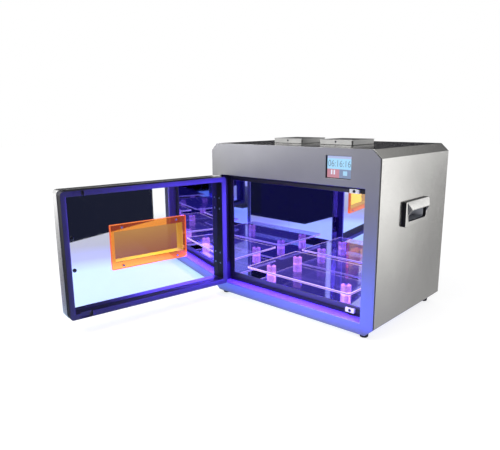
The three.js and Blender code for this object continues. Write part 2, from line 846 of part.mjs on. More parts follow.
function hingeLeaf(z, x0, reaches) {
  const half = hingeHeight / 2;
  let leaf = box(x0, x0 + leafThick, pivotY + leafStart, pivotY + leafEnd, z - half, z + half);
  for (const [from, to] of reaches) {
    leaf = leaf.add(box(x0, x0 + leafThick, pivotY + pinRadius, pivotY + leafStart + clearance,
      z + from, z + to));
    leaf = leaf.add(hingeBarrel(z, from, to));
  }
  return leaf.subtract(rod('z', pinRadius + clearance, z - half - 1, z + half + 1, pivotX, pivotY, 20));
}

function frameLeaf(name, z) {
  const half = hingeHeight / 2;
  const middle = knuckleLength / 2 + clearance / 2;
  const x0 = -openingHalf + clearance;
  return mesh(name, hingeLeaf(z, x0, [[-half, -middle], [middle, half]]), finish.steel);
}

function doorLeaf(name, z) {
  const middle = knuckleLength / 2 - clearance / 2;
  const x0 = doorLeft - clearance - leafThick;
  return mesh(name, hingeLeaf(z, x0, [[-middle, middle]]), finish.steel);
}

function hingePin(name, z) {
  const half = hingeHeight / 2;
  let pin = rod('z', pinRadius, z - half - clearance, z + half + clearance, pivotX, pivotY, 20);
  for (const end of [z - half - clearance - pinHead, z + half + clearance]) {
    pin = pin.add(rod('z', barrelRadius - 0.6, end, end + pinHead, pivotX, pivotY, 20));
  }
  return mesh(name, pin, finish.steel);
}

// ---------------------------------------------------------------- door

const doorFront = frontY - doorProud;
const doorInner = frontY + doorInnerDepth;
const doorMirrorFace = doorInner - doorRecess;

function windowOpening(y0, y1, grow = 0) {
  return box(doorMiddleX - windowWidth / 2 - grow, doorMiddleX + windowWidth / 2 + grow, y0, y1,
    doorMiddleZ - windowHeight / 2 - grow, doorMiddleZ + windowHeight / 2 + grow);
}

function doorSkin() {
  const outline = roundedRectangle(doorLeft, doorRight, doorBottom, doorTop, doorCorner);
  const skinBack = frontY + doorSkinDeep;
  const geometry = new THREE.ExtrudeGeometry(outline, {
    depth: skinBack - doorFront, bevelEnabled: true, bevelThickness: doorEdgeRound,
    bevelSize: doorEdgeRound, bevelOffset: -doorEdgeRound, bevelSegments: 4, curveSegments,
  });
  geometry.rotateX(Math.PI / 2);
  geometry.translate(0, doorFront + doorEdgeRound + skinBack - doorFront, 0);
  let skin = solid(geometry);
  skin = skin.subtract(box(-bodyWidth, bodyWidth, skinBack, backY, -1, bodyHeight));
  const cavity = roundedRectangle(doorLeft + doorSheet, doorRight - doorSheet,
    doorBottom + doorSheet, doorTop - doorSheet, doorCorner - doorSheet);
  skin = skin.subtract(alongY(cavity, doorFront + doorEdgeRound, skinBack + 1));
  const inset = doorSheet + doorNarrowing;
  skin = skin.subtract(box(doorLeft + inset, doorRight - inset, doorFront + doorSheet + 1,
    doorFront + doorEdgeRound + 1, doorBottom + inset, doorTop - inset));
  skin = skin.subtract(windowOpening(doorFront - 1, skinBack));
  skin = skin.subtract(hingeNotch(barrelRadius + clearance));
  return mesh('door_skin', skin, finish.silver);
}

function doorCore() {
  const inset = doorSheet + clearance + doorEdgeRound;
  let core = box(doorLeft + inset, doorRight - inset, doorFront + doorSheet + 1 + clearance,
    doorMirrorFace - mirrorThick - clearance, doorBottom + inset, doorTop - inset);
  core = core.subtract(windowOpening(doorFront - 1, doorInner, sleeveThick + clearance));
  return mesh('door_core', core, finish.foam);
}

// Lines the window's opening from the skin's inner face to the mirror's back.
function windowSleeve() {
  const y0 = doorFront + doorSheet + 1 + clearance;
  const y1 = doorMirrorFace - mirrorThick - clearance;
  const sleeve = windowOpening(y0, y1, sleeveThick).subtract(windowOpening(y0 - 1, y1 + 1));
  return mesh('window_sleeve', sleeve, finish.whitePlastic);
}

function doorRim() {
  const skinBack = frontY + doorSkinDeep;
  const seat = doorMirrorFace;
  const inner = roundedRectangle(doorLeft + rimWidth, doorRight - rimWidth,
    doorBottom + rimWidth, doorTop - rimWidth, 2);
  const outer = roundedRectangle(doorLeft + rimStep, doorRight - rimStep,
    doorBottom + rimStep, doorTop - rimStep, doorCorner - rimStep);
  const tuck = doorSheet + clearance;
  const tucked = roundedRectangle(doorLeft + tuck, doorRight - tuck,
    doorBottom + tuck, doorTop - tuck, doorCorner - tuck);
  let rim = alongY(outer, skinBack + clearance, doorInner);
  rim = rim.add(alongY(tucked, seat + clearance, skinBack + 2 * clearance));
  rim = rim.subtract(alongY(inner, seat - 1, doorInner + 1));
  const pocketDeep = catchProud + recessDepth - doorInnerDepth + strikeThick + 3 * clearance;
  for (const z of catchCentresZ()) {
    rim = rim.subtract(catchBox(z, strikePocketGap, pocketDeep));
  }
  return mesh('door_rim', rim, finish.blackMetal);
}

function strike(name, z) {
  const y0 = stopFront - catchProud - 2 * clearance - strikeThick - strikeRoom;
  const halfWide = catchWidth / 2 + strikeBorder;
  const halfHigh = catchHeight / 2 + strikeBorder;
  return mesh(name, box(catchX - halfWide, catchX + halfWide, y0, y0 + strikeThick,
    z - halfHigh, z + halfHigh), finish.steel);
}

function doorMirror() {
  const inset = doorSheet + 2 * clearance + 1;
  const outline = roundedRectangle(doorLeft + inset, doorRight - inset,
    doorBottom + inset, doorTop - inset, doorCorner - inset);
  const plate = alongY(outline, doorMirrorFace - mirrorThick, doorMirrorFace);
  return mesh('door_mirror', plate.subtract(windowOpening(doorFront, doorInner)), finish.mirror);
}

function doorWindow() {
  const y0 = doorMirrorFace + clearance;
  const plate = roundedRectangle(doorMiddleX - windowPlateWidth / 2, doorMiddleX + windowPlateWidth / 2,
    doorMiddleZ - windowPlateHeight / 2, doorMiddleZ + windowPlateHeight / 2, windowPlateCorner);
  return mesh('door_window', alongY(plate, y0, y0 + windowPlateThick), finish.orange);
}

function doorHandle() {
  const x = doorRight - handleFromFreeEdge;
  const half = handleBar / 2;
  const y1 = doorFront - clearance;
  const y0 = y1 - handleStand - handleBar;
  const reach = handleSpacing / 2 + half;
  const outer = roundedRectangle(y0, y1 + 10, doorMiddleZ - reach, doorMiddleZ + reach, handleOuterRound);
  const inner = roundedRectangle(y0 + handleBar, y1 + 20, doorMiddleZ - reach + handleBar,
    doorMiddleZ + reach - handleBar, handleInnerRound);
  let bar = alongX(outer, x - half, x + half);
  bar = bar.subtract(alongX(inner, x - half - 1, x + half + 1));
  bar = bar.subtract(box(x - bodyWidth, x + bodyWidth, y1, backY, 0, bodyHeight));
  return mesh('door_handle', bar, finish.steel);
}

// ---------------------------------------------------------------- assembly

cabinet.add(outerShell(), basePan(), rearPanel(), fascia(), fasciaGasket(), recessFrame(), stopFrame());
cabinet.add(mesh('door_seal', doorSeal(), finish.rubber));
cabinet.add(chamberLiner(), ...mirrors(), shelf(), ...shelfPosts());
for (const [side, x] of [['left', ventCentresX[0]], ['right', ventCentresX[1]]]) {
  cabinet.add(ledPanel(`led_panel_${side}`, x), heatSink(`heat_sink_${side}`, x));
  cabinet.add(fanFrame(`fan_frame_${side}`, x), fanRotor(`fan_rotor_${side}`, x));
  cabinet.add(ventCover(`vent_cover_${side}`, x));
  cabinet.add(handleBezel(`handle_bezel_${side}`, side === 'left'));
  cabinet.add(handlePocket(`handle_pocket_${side}`, side === 'left'));
}
cabinet.add(displayGlass(), displayBoard(), controllerBoard(), powerSupply(), powerInlet(), powerRocker());
cabinet.add(...feet());
for (const [place, z] of [['lower', catchCentresZ()[0]], ['upper', catchCentresZ()[1]]]) {
  cabinet.add(magnetCatch(`magnet_catch_${place}`, z));
  door.add(strike(`strike_plate_${place}`, z));
}
for (const [place, z] of Object.entries(hingeCentres)) {
  cabinet.add(frameLeaf(`hinge_${place}_frame_leaf`, z), hingePin(`hinge_${place}_pin`, z));
  door.add(doorLeaf(`hinge_${place}_door_leaf`, z));
}
door.add(doorSkin(), doorCore(), windowSleeve(), doorRim(), doorMirror(), doorWindow(), doorHandle());

// The door turns about its hinge line: its pieces are placed shut, then swung open.
door.position.set(-pivotX, -pivotY, 0);
const swing = new THREE.Group();
swing.add(door);
swing.position.set(pivotX, pivotY, 0);
swing.rotation.z = THREE.MathUtils.degToRad(-openAngle);

const group = new THREE.Group();
group.add(cabinet, swing);

export default group;
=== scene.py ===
# %% [markdown]
# # A desktop light-curing chamber
#
# The object is a steel cabinet with a mirrored chamber. Violet light-emitting diodes under the
# chamber's ceiling harden resin parts that stand on a clear shelf. The door stands open, and its
# orange window lets a person look in while the light is on.
#
# The construction is a frame that comes in ready made, one object for each sub-part. This lesson
# gives each sub-part its finish, and models the small things that make it look real: rounded sheet
# edges, screws, magnets, glowing acrylic edges and the screen. Lengths are in metres.

# %% Open the frame
import json
from math import atan2, cos, pi, radians, sin

import bmesh
import bpy
from mathutils import Matrix, Vector

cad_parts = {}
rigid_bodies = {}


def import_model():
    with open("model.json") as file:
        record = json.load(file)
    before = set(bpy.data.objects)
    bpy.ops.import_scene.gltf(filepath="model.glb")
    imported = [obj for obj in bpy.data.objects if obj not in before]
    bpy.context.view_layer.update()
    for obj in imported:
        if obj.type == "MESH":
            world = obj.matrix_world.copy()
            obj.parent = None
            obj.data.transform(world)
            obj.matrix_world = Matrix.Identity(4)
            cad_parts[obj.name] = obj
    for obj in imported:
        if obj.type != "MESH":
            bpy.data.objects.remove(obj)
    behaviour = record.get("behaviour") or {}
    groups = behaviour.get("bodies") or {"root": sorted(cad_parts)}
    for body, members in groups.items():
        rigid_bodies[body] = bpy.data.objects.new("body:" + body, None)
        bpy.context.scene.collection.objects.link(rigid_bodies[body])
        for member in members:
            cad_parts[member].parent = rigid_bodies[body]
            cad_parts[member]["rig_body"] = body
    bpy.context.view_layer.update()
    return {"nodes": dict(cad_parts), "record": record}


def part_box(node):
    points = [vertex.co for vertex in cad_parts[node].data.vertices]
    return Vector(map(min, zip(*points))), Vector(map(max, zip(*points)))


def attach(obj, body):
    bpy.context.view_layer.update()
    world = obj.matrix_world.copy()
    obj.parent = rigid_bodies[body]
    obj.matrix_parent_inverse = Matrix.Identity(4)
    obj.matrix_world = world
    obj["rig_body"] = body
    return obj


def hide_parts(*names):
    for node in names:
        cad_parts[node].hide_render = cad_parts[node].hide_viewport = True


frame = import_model()
scene = bpy.context.scene

# %% [markdown]
# ## The camera
#
# A product picture is taken a little above the object and to one side. The camera could be aimed
# with a Track To constraint, but here its three axes are written straight into its matrix from a
# yaw, a pitch and a small roll, because that keeps the verticals exactly where they should be.

# %% Camera
CAMERA_PLACE = Vector((0.6916, -1.0059, 0.4373))
CAMERA_YAW = radians(43.2548)
CAMERA_PITCH = radians(12.100)
CAMERA_ROLL = radians(-0.3544)
CAMERA_LENS = 35.50
CAMERA_SENSOR = 36


def camera_matrix(place, yaw, pitch, roll):
    forward = Vector((-sin(yaw) * cos(pitch), cos(yaw) * cos(pitch), -sin(pitch)))
    right = Vector((cos(yaw), sin(yaw), 0))
    up = right.cross(forward)
    rolled_right = right * cos(roll) + up * sin(roll)
    rolled_up = up * cos(roll) - right * sin(roll)
    axes = Matrix((rolled_right, rolled_up, -forward)).transposed().to_4x4()
    return Matrix.Translation(place) @ axes


camera_data = bpy.data.cameras.new("camera")
camera_data.lens = CAMERA_LENS
camera_data.sensor_width = CAMERA_SENSOR
camera = bpy.data.objects.new("camera", camera_data)
camera.matrix_world = camera_matrix(CAMERA_PLACE, CAMERA_YAW, CAMERA_PITCH, CAMERA_ROLL)
scene.collection.objects.link(camera)
scene.camera = camera
scene.view_settings.view_transform = "Standard"
print("camera at", [round(v, 3) for v in camera.location])

# %% [markdown]
# ## Finishes
#
# Painted and brushed metal is never one flat value. In every finish below a broad soft noise shifts
# the colour a little, a fine noise changes the roughness, and the same fine noise lifts the surface
# by a few micrometres. The noise reads Object coordinates, so it keeps its real size on every piece.
# A stretched pattern gives the long grain of a brushed sheet. These small helpers make the nodes.

# %% Helpers for nodes
NOISE_LOW = 0.3
NOISE_HIGH = 0.7
EVEN = (1, 1, 1)


def new_material(name):
    material = bpy.data.materials.new(name)
    material.use_nodes = True
    return material, material.node_tree.nodes, material.node_tree.links


def shader_of(material):
    return next(node for node in material.node_tree.nodes if node.type == "BSDF_PRINCIPLED")


def object_pattern(nodes, links, stretch=EVEN):
    place = nodes.new("ShaderNodeTexCoord")
    mapping = nodes.new("ShaderNodeMapping")
    mapping.inputs["Scale"].default_value = stretch
    links.new(place.outputs["Object"], mapping.inputs["Vector"])
    return mapping.outputs["Vector"]


def noise(nodes, links, vector, scale, detail):
    texture = nodes.new("ShaderNodeTexNoise")
    texture.inputs["Scale"].default_value = scale
    texture.inputs["Detail"].default_value = detail
    links.new(vector, texture.inputs["Vector"])
    return texture.outputs["Fac"]


def map_range(nodes, links, source, start, end, low=0.0, high=1.0):
    """Turns what runs from start to end into what runs from low to high."""
    span = nodes.new("ShaderNodeMapRange")
    for socket, value in zip(("From Min", "From Max", "To Min", "To Max"), (start, end, low, high)):
        span.inputs[socket].default_value = value
    links.new(source, span.inputs["Value"])
    return span.outputs["Result"]


def colour_ramp(nodes, links, source, stops):
    ramp = nodes.new("ShaderNodeValToRGB")
    elements = ramp.color_ramp.elements
    while len(elements) < len(stops):
        elements.new(1.0)
    for element, (place, colour) in zip(elements, stops):
        element.position = place
        element.color = [*colour, 1]
    links.new(source, ramp.inputs["Fac"])
    return ramp.outputs["Color"]


print("a noise mostly lies between", NOISE_LOW, "and", NOISE_HIGH)

# %% [markdown]
# ## One helper for all finishes
#
# The nodes could be wired anew for each finish. One function with a line of numbers for each finish
# is shorter, and keeps the finishes alike in how they vary. It also files each finish under its name,
# so a piece can ask for it. Sockets that only some finishes need, such as a coat or a glow, are
# passed on by their own names.

# %% The surface helper
BROAD_GRAIN = 14
BROAD_DETAIL = 2.0
FINE_DETAIL = 3.0
finishes = {}


def surface(name, colour, metallic, rough, grain, stretch=EVEN, lift=0.000004, tone=0.05, **sockets):
    """A finish whose roughness runs between two values, with a grain and a drift of tone."""
    material, nodes, links = new_material(name)
    shader = shader_of(material)
    fine = noise(nodes, links, object_pattern(nodes, links, stretch), grain, FINE_DETAIL)
    broad = noise(nodes, links, object_pattern(nodes, links), BROAD_GRAIN, BROAD_DETAIL)
    darker = [value * (1 - tone) for value in colour]
    lighter = [min(1, value * (1 + tone)) for value in colour]
    drift = colour_ramp(nodes, links, broad, [(NOISE_LOW, darker), (NOISE_HIGH, lighter)])
    links.new(drift, shader.inputs["Base Color"])
    links.new(map_range(nodes, links, fine, NOISE_LOW, NOISE_HIGH, *rough), shader.inputs["Roughness"])
    shader.inputs["Metallic"].default_value = metallic
    if lift:
        bump = nodes.new("ShaderNodeBump")
        bump.inputs["Distance"].default_value = lift
        links.new(fine, bump.inputs["Height"])
        links.new(bump.outputs["Normal"], shader.inputs["Normal"])
    for socket, value in sockets.items():
        shader.inputs[socket.replace("_", " ")].default_value = value
    finishes[name] = material


print("every finish drifts at a scale of", BROAD_GRAIN)

# %% [markdown]
# ## The metals
#
# The casing is warm silver sheet under a clear lacquer, brushed from front to back. The front and
# the rear are painted a satin grey, and so is the recess. The mirrors are polished steel: almost no
# roughness, with a faint smear that only shows where a light catches it. Those in the chamber are
# tinted, which stands in for the violet light that they throw to and fro. One call could be written
# for each sheet, but then a change to the steel would have to be made many times, so each finish is
# made once. A line gives the colour, METAL or a smaller share, the roughness from the smooth to the
# rough spots, and how fine the grain is.

# %% Metals
METAL = 1.0
ALONG_X = (0.12, 1, 1)
ALONG_Y = (1, 0.12, 1)
surface("brushed_silver", (0.86, 0.85, 0.83), METAL, (0.17, 0.27), 700, ALONG_Y, tone=0.03)
surface("door_silver", (0.80, 0.80, 0.79), METAL, (0.26, 0.36), 700, ALONG_X, tone=0.03)
surface("vent_silver", (0.46, 0.46, 0.455), METAL, (0.30, 0.50), 420, tone=0.12)
surface("gunmetal_paint", (0.20, 0.20, 0.212), 0.80, (0.34, 0.44), 1600, tone=0.04)
surface("recess_paint", (0.20, 0.20, 0.22), 0.45, (0.24, 0.34), 1500)
surface("liner_steel", (0.55, 0.56, 0.60), METAL, (0.25, 0.35), 600, (1, 1, 0.1))
surface("mirror", (0.90, 0.93, 0.97), METAL, (0.008, 0.03), 60, lift=0, tone=0.01)
surface("chamber_mirror", (0.66, 0.68, 0.95), METAL, (0.008, 0.03), 60, lift=0,
        tone=0.01)
surface("bright_steel", (0.62, 0.62, 0.63), METAL, (0.18, 0.30), 500, (1, 1, 0.15))
surface("dark_steel", (0.035, 0.035, 0.05), 0.8, (0.22, 0.34), 900, tone=0.15)
# A bright blue on steel as painted light: the chamber's violet light falls on these screws.
surface("violet_lit_steel", (0.26, 0.30, 0.62), 0.9, (0.22, 0.34), 900, tone=0.15)
surface("cast_aluminium", (0.50, 0.50, 0.52), METAL, (0.35, 0.5), 500)
print("metals ready")

# %% [markdown]
# ## Plastics, rubber and lacquer
#
# A moulded part has a finer, softer shine than a painted one. The same helper makes it: no metal, a
# high roughness and a deeper grain. Black is never quite black, and blacks differ in how much they
# mirror, so the rim has its specular level turned down instead of its colour. Its walls are turned
# down too, and are painted a deeper black as painted shade for the cabinet's shadow. The stop frame's
# lacquer is the other way round: a coat lies over its black.

# %% Plastics and rubber
PLASTIC = 0.0
DEEP_LIFT = 0.00001
surface("black_metal", (0.016, 0.016, 0.022), PLASTIC, (0.28, 0.40), 1400, tone=0.2,
        Coat_Weight=0.25, Coat_Roughness=0.18)
surface("black_plastic", (0.014, 0.014, 0.016), PLASTIC, (0.38, 0.52), 1100, tone=0.2,
        lift=DEEP_LIFT)
# The pockets are black plastic; this lighter grey is painted light, for the light seen inside them.
surface("pocket_painted_light", (0.24, 0.25, 0.28), PLASTIC, (0.30, 0.42), 1100, tone=0.2,
        lift=DEEP_LIFT)
surface("rim_plastic", (0.034, 0.034, 0.050), PLASTIC, (0.38, 0.50), 1200, tone=0.15,
        Specular_IOR_Level=0.25)
# The rim's walls: a deeper black, as painted shade for the cabinet's shadow.
surface("wall_painted_shade", (0.008, 0.008, 0.014), PLASTIC, (0.45, 0.55), 1200, tone=0.15,
        Specular_IOR_Level=0.2)
surface("black_rubber", (0.010, 0.010, 0.011), PLASTIC, (0.65, 0.85), 500, tone=0.2,
        lift=2 * DEEP_LIFT)
surface("white_plastic", (0.80, 0.80, 0.82), PLASTIC, (0.3, 0.42), 700, tone=0.02)
surface("foam", (0.05, 0.05, 0.055), PLASTIC, (0.85, 0.95), 350, tone=0.25,
        lift=20 * DEEP_LIFT)
surface("circuit_board", (0.02, 0.11, 0.05), PLASTIC, (0.3, 0.5), 500, tone=0.25)
surface("led_board", (0.75, 0.75, 0.78), PLASTIC, (0.3, 0.45), 500, tone=0.03)
print("opaque finishes ready")

# %% [markdown]
# ## Clear and glowing finishes
#
# Cast acrylic lets light through its faces and pipes it to its edges, so a lit sheet has dark clear
# faces and bright edges. That is hard to trace and easy to model: the faces are a glass-like
# transmission with a faint painted violet glow, and the cut edges are a second finish whose glow is
# painted light for the light that they pipe. Orange acrylic also fluoresces where violet light strikes
# it, most of all along its lower border, so a map range on the height raises its painted glow there.
# The diodes and the screen's seven colours glow as well.

# %% Acrylic, diodes and screen colours
ORANGE_GLOW = (0.07, 0.30)
ORANGE_BORDER = 0.020
SCREEN_GLOW = 0.95


def glow(name, colour, strength):
    surface(name, (0.1, 0.1, 0.12), PLASTIC, (0.2, 0.3), 500, lift=0, Emission_Color=[*colour, 1],
            Emission_Strength=strength)


def acrylic(name, colour, glow_colour, strength):
    surface(name, colour, PLASTIC, (0.01, 0.04), 90, lift=0, tone=0.02, Transmission_Weight=1.0,
            IOR=1.49, Emission_Color=[*glow_colour, 1], Emission_Strength=strength)


def glow_by_height(material, top, foot, strengths):
    """Lets a finish glow more strongly from one height down to another."""
    nodes, links = material.node_tree.nodes, material.node_tree.links
    split = nodes.new("ShaderNodeSeparateXYZ")
    links.new(object_pattern(nodes, links), split.inputs[0])
    strength = map_range(nodes, links, split.outputs["Z"], top, foot, *strengths)
    links.new(strength, shader_of(material).inputs["Emission Strength"])


# Each acrylic's glow below is painted light for the violet light that falls on it and is piped through it.
acrylic("clear_acrylic", (0.93, 0.90, 1.0), (0.22, 0.16, 1.0), 0.09)
acrylic("clear_acrylic_edge", (0.80, 0.66, 1.0), (0.60, 0.34, 1.0), 0.45)
# The arris's thin bright line is a painted highlight.
glow("arris_painted_highlight", (1.0, 0.72, 0.96), 1.0)
acrylic("post_acrylic", (0.86, 0.62, 1.0), (0.85, 0.36, 0.95), 0.38)
acrylic("orange_acrylic", (1.0, 0.62, 0.05), (1.0, 0.20, 0.24), ORANGE_GLOW[0])
acrylic("orange_acrylic_edge", (1.0, 0.30, 0.05), (1.0, 0.16, 0.05), 0.75)
window_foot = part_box("door_window")[0].z
glow_by_height(finishes["orange_acrylic"], window_foot + ORANGE_BORDER, window_foot, ORANGE_GLOW)
glow("diode", (0.30, 0.16, 1.0), 9.0)
SCREEN_COLOURS = {
    "screen_bar": (0.40, 0.47, 0.76), "screen_sky": (0.31, 0.66, 0.93),
    "screen_red": (0.50, 0.17, 0.22), "screen_slate": (0.14, 0.21, 0.36),
    "screen_white": (0.72, 0.78, 0.90), "screen_ink": (0.12, 0.22, 0.33),
    "screen_pale": (0.32, 0.62, 0.84),
}
for name, colour in SCREEN_COLOURS.items():
    glow(name, colour, SCREEN_GLOW)
print(len(finishes), "finishes ready")

# %% [markdown]
# ## From CAD solid to finished sheet
#
# A CAD solid has razor edges, and a real edge never has: a folded, cut or moulded edge is rounded
# and catches a thin line of light. The round could be modelled by hand on each piece. It is quicker
# and steadier to let a Bevel modifier round whatever is sharper than 30 degrees, and to weigh the
# normals so that flat faces stay flat. A piece is rounded as its making would leave it: crisp, cut,
# trimmed, folded sheet or moulded.

# %% A finished piece
CRISP, CUT, TRIMMED, SHEET, MOULDED = 0.0002, 0.0003, 0.0004, 0.0005, 0.0006
ROUND_FROM = radians(30)


def finish_piece(name, bm, body, looks, replaced=(), rounding=0.0, segments=2):
    mesh = bpy.data.meshes.new(name)
    bm.to_mesh(mesh)
    bm.free()
    for look in looks:
        mesh.materials.append(finishes[look])
    mesh.shade_smooth()
    piece = bpy.data.objects.new(name, mesh)
    scene.collection.objects.link(piece)
    if rounding:
        bevel = piece.modifiers.new("rounded_edges", "BEVEL")
        bevel.width = rounding
        bevel.segments = segments
        bevel.limit_method = "ANGLE"
        bevel.angle_limit = ROUND_FROM
        bevel.use_clamp_overlap = False
        level = piece.modifiers.new("level_faces", "WEIGHTED_NORMAL")
        level.weight = 100
    else:
        mesh.set_sharp_from_angle(angle=ROUND_FROM)
    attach(piece, body)
    if replaced:
        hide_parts(*replaced)
    return piece


print("roundings from", CRISP, "to", MOULDED)

# %% [markdown]
# ## A rounded copy of a CAD solid
#
# The CAD mesh is loose triangles, which a bevel would leave as they are. So the piece starts as a
# copy with its doubled vertices merged and its flat triangles dissolved, and the copy then stands for
# the CAD node. Most pieces carry the finish that their slot is named after, and the others say theirs.

# %% A rounded copy
SIDES = ("left", "right")
ROWS = ("front", "back")
LEVELS = ("upper", "lower")
MERGE = 0.000002
FLAT = radians(0.5)


def box_of(node):
    """A node's lowest and highest corners, and its middle."""
    low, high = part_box(node)
    return low, high, (low + high) / 2


def merged_copy(node):
    bm = bmesh.new()
    bm.from_mesh(frame["nodes"][node].data)
    bmesh.ops.remove_doubles(bm, verts=bm.verts, dist=MERGE)
    bmesh.ops.dissolve_limit(bm, angle_limit=FLAT, verts=bm.verts, edges=bm.edges)
    for face in bm.faces:
        face.material_index = 0
    return bm


def soften(node, name, slot, rounding, looks=None, paint=None, segments=2, split=False):
    """A rounded copy of a CAD node. paint(face) may choose another of its looks.

    A wide flat face with a hole in it is split, because the bevel can fill such a hole by mistake."""
    bm = merged_copy(node)
    if split:
        bmesh.ops.triangulate(bm, faces=bm.faces)
    if paint:
        bm.normal_update()
        for face in bm.faces:
            face.material_index = paint(face)
    body = frame["nodes"][node]["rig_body"]
    return finish_piece(name, bm, body, looks or [slot], [node], rounding, segments)


print("the shell's copy has", len(merged_copy("outer_shell").faces), "faces")

# %% [markdown]
# ## Screws and other turned parts
#
# A screw head, a washer and a rubber buffer are all turned shapes, made on a lathe. Blender's lathe
# is the spin operator: half of the outline is drawn as a few vertices from the axis and back to the
# axis, and it is spun once round. The seam and the two ends then hold doubled vertices, which are
# merged before the normals are made to point outwards. The screws here have a six-sided socket, made
# by pulling the socket's round wall in to a hexagon. A screw's size is its radius and its height.

# %% Turned parts
UP, DOWN, TO_FRONT, TO_BACK, TO_RIGHT = (0, 0, 1), (0, 0, -1), (0, -1, 0), (0, 1, 0), (1, 0, 0)
TURN_STEPS = 24
WIDE_STEPS = 32
SUNK = 0.0004
SOCKET_WIDE = 0.5
SOCKET_FLOOR = 0.3


def turned_part(profile, steps=TURN_STEPS):
    part = bmesh.new()
    points = [part.verts.new((radius, 0, height)) for radius, height in profile]
    edges = [part.edges.new(pair) for pair in zip(points, points[1:])]
    bmesh.ops.spin(part, geom=points + edges, cent=(0, 0, 0), axis=UP, angle=2 * pi, steps=steps,
                   use_merge=True)
    bmesh.ops.remove_doubles(part, verts=part.verts, dist=MERGE)
    bmesh.ops.recalc_face_normals(part, faces=part.faces)
    return part


def rod_part(radius, low, high):
    return turned_part([(0, low), (radius, low), (radius, high), (0, high)])


def screw_part(radius, height):
    inner = SOCKET_WIDE * radius
    floor = SOCKET_FLOOR * height
    part = turned_part([
        (0, -SUNK), (radius, -SUNK), (radius, 0.45 * height), (0.82 * radius, 0.9 * height),
        (0.65 * radius, height), (inner, height), (inner, floor), (0, floor),
    ])
    for vertex in part.verts:
        reach = vertex.co.xy.length
        if abs(reach - inner) < MERGE and vertex.co.z > floor / 2:
            turn = atan2(vertex.co.y, vertex.co.x) % (pi / 3) - pi / 6
            vertex.co.xy *= cos(pi / 6) / cos(turn)
    return part


print("a screw has", len(screw_part(0.003, 0.002).faces), "faces")

# %% [markdown]
# ## Putting parts in their places
#
# A row of screws could be many objects. As they are all alike and sit in one body, they are joined
# into one piece: each part is made at the origin, turned and moved by a matrix, and added to the
# piece's bmesh. A block is a cube that a matrix stretches to its two corners.

# %% Placing parts
def towards(place, axis):
    return Matrix.Translation(place) @ Vector(axis).to_track_quat("Z", "Y").to_matrix().to_4x4()


def add_part(bm, part, matrix=None, look=0):
    """Puts a part into bm at a place, with one of the piece's looks."""
    if matrix is not None:
        bmesh.ops.transform(part, matrix=matrix, verts=part.verts)
    for face in part.faces:
        face.material_index = look
    held = bpy.data.meshes.new("held")
    part.to_mesh(held)
    part.free()
    bm.from_mesh(held)
    bpy.data.meshes.remove(held)


def block_part(low, high):
    part = bmesh.new()
    low, high = Vector(low), Vector(high)
    size = Matrix.Diagonal((*(high - low), 1))
    bmesh.ops.create_cube(part, size=1, matrix=Matrix.Translation((low + high) / 2) @ size)
    return part


def screws(name, body, look, places, axis, size):
    bm = bmesh.new()
    for place in places:
        add_part(bm, screw_part(*size), towards(place, axis))
    finish_piece(name, bm, body, [look])


def evenly(start, end, count):
    return [start + (end - start) * i / (count - 1) for i in range(count)]


print("four even steps:", evenly(0, 3, 4))

# %% [markdown]
# ## The door's own directions
#
# The door stands open at rest, so nothing on it lies square to the cabinet. It is easiest to place a
# screw on the shut door, where X, Y and Z mean across, deep and up, and then to swing the place open
# with the matrix of the hinge. The matrix is worked out from the hinge joint in the record.

# %% The hinge's matrix
hinge = next(joint for joint in frame["record"]["behaviour"]["joints"] if joint["name"] == "door_hinge")
PIVOT = Matrix.Translation(hinge["pos_m"])
OPEN = PIVOT @ Matrix.Rotation(-radians(hinge["range_deg"][1]), 4, "Z") @ PIVOT.inverted()
SHUT = OPEN.inverted()
INWARD = OPEN.to_3x3() @ Vector(TO_BACK)


def shut_box(node):
    """A door node's lowest and highest corners and its middle, when the door is shut."""
    columns = list(zip(*(SHUT @ vertex.co for vertex in frame["nodes"][node].data.vertices)))
    low, high = (Vector([pick(column) for column in columns]) for pick in (min, max))
    return low, high, (low + high) / 2


def door_screws(name, look, places, axis, size):
    spots = [OPEN @ Vector(place) for place in places]
    screws(name, "door", look, spots, OPEN.to_3x3() @ Vector(axis), size)


skin_low = shut_box("door_skin")[0]
rim_low, rim_high = shut_box("door_rim")[:2]
print("shut door from", [round(v, 4) for v in skin_low], "to", [round(v, 4) for v in rim_high])

# %% [markdown]
# ## The cabinet's sheet metal
#
# The shell is one folded sheet with chamfered long edges. The front plate is a thicker plate that
# stands a thin black gasket away from it. Both are softened by less than a millimetre, as a laser-cut
# and deburred edge is.

# %% Shell, front and rear
soften("outer_shell", "shell", "brushed_silver", SHEET)
soften("fascia", "front_plate", "gunmetal_paint", SHEET)
soften("fascia_gasket", "front_gasket", "black_rubber", TRIMMED)
soften("rear_panel", "rear_plate", "gunmetal_paint", CUT)
soften("base_pan", "base_plate", "brushed_silver", CUT)
print("sheet metal softened")

# %% [markdown]
# ## The recess that the door shuts into
#
# Behind the doorway a shallow frame takes the door, and a stop frame with a rubber seal closes the
# gap round the chamber. The frame is painted grey, and its two upright walls are painted black as
# painted shade, for the door's shadow on them. One piece can carry both finishes: each face is given
# a look by the direction in which it points.

# %% Recess, stop frame and seal
FACING = 0.9


# Faces that point sideways are the upright walls, black as painted shade.
def recess_painted_shade(face):
    return 1 if abs(face.normal.x) > FACING else 0


soften("recess_frame", "door_recess", "gunmetal_paint", TRIMMED, ["recess_paint", "black_metal"],
       recess_painted_shade)
soften("stop_frame", "door_stop", "black_metal", SHEET)
soften("door_seal", "door_seal_strip", "black_rubber", MOULDED)
soften("chamber_liner", "chamber_box", "liner_steel", CUT)
print("recess ready")

# %% [markdown]
# ## Chamber mirrors
#
# The chamber is lined with mirrors so that the light reaches a print from every side. They get no
# rounding at all: a bevel would bend the reflections near the edges, and polished sheet that is
# tucked behind a frame shows no edge.

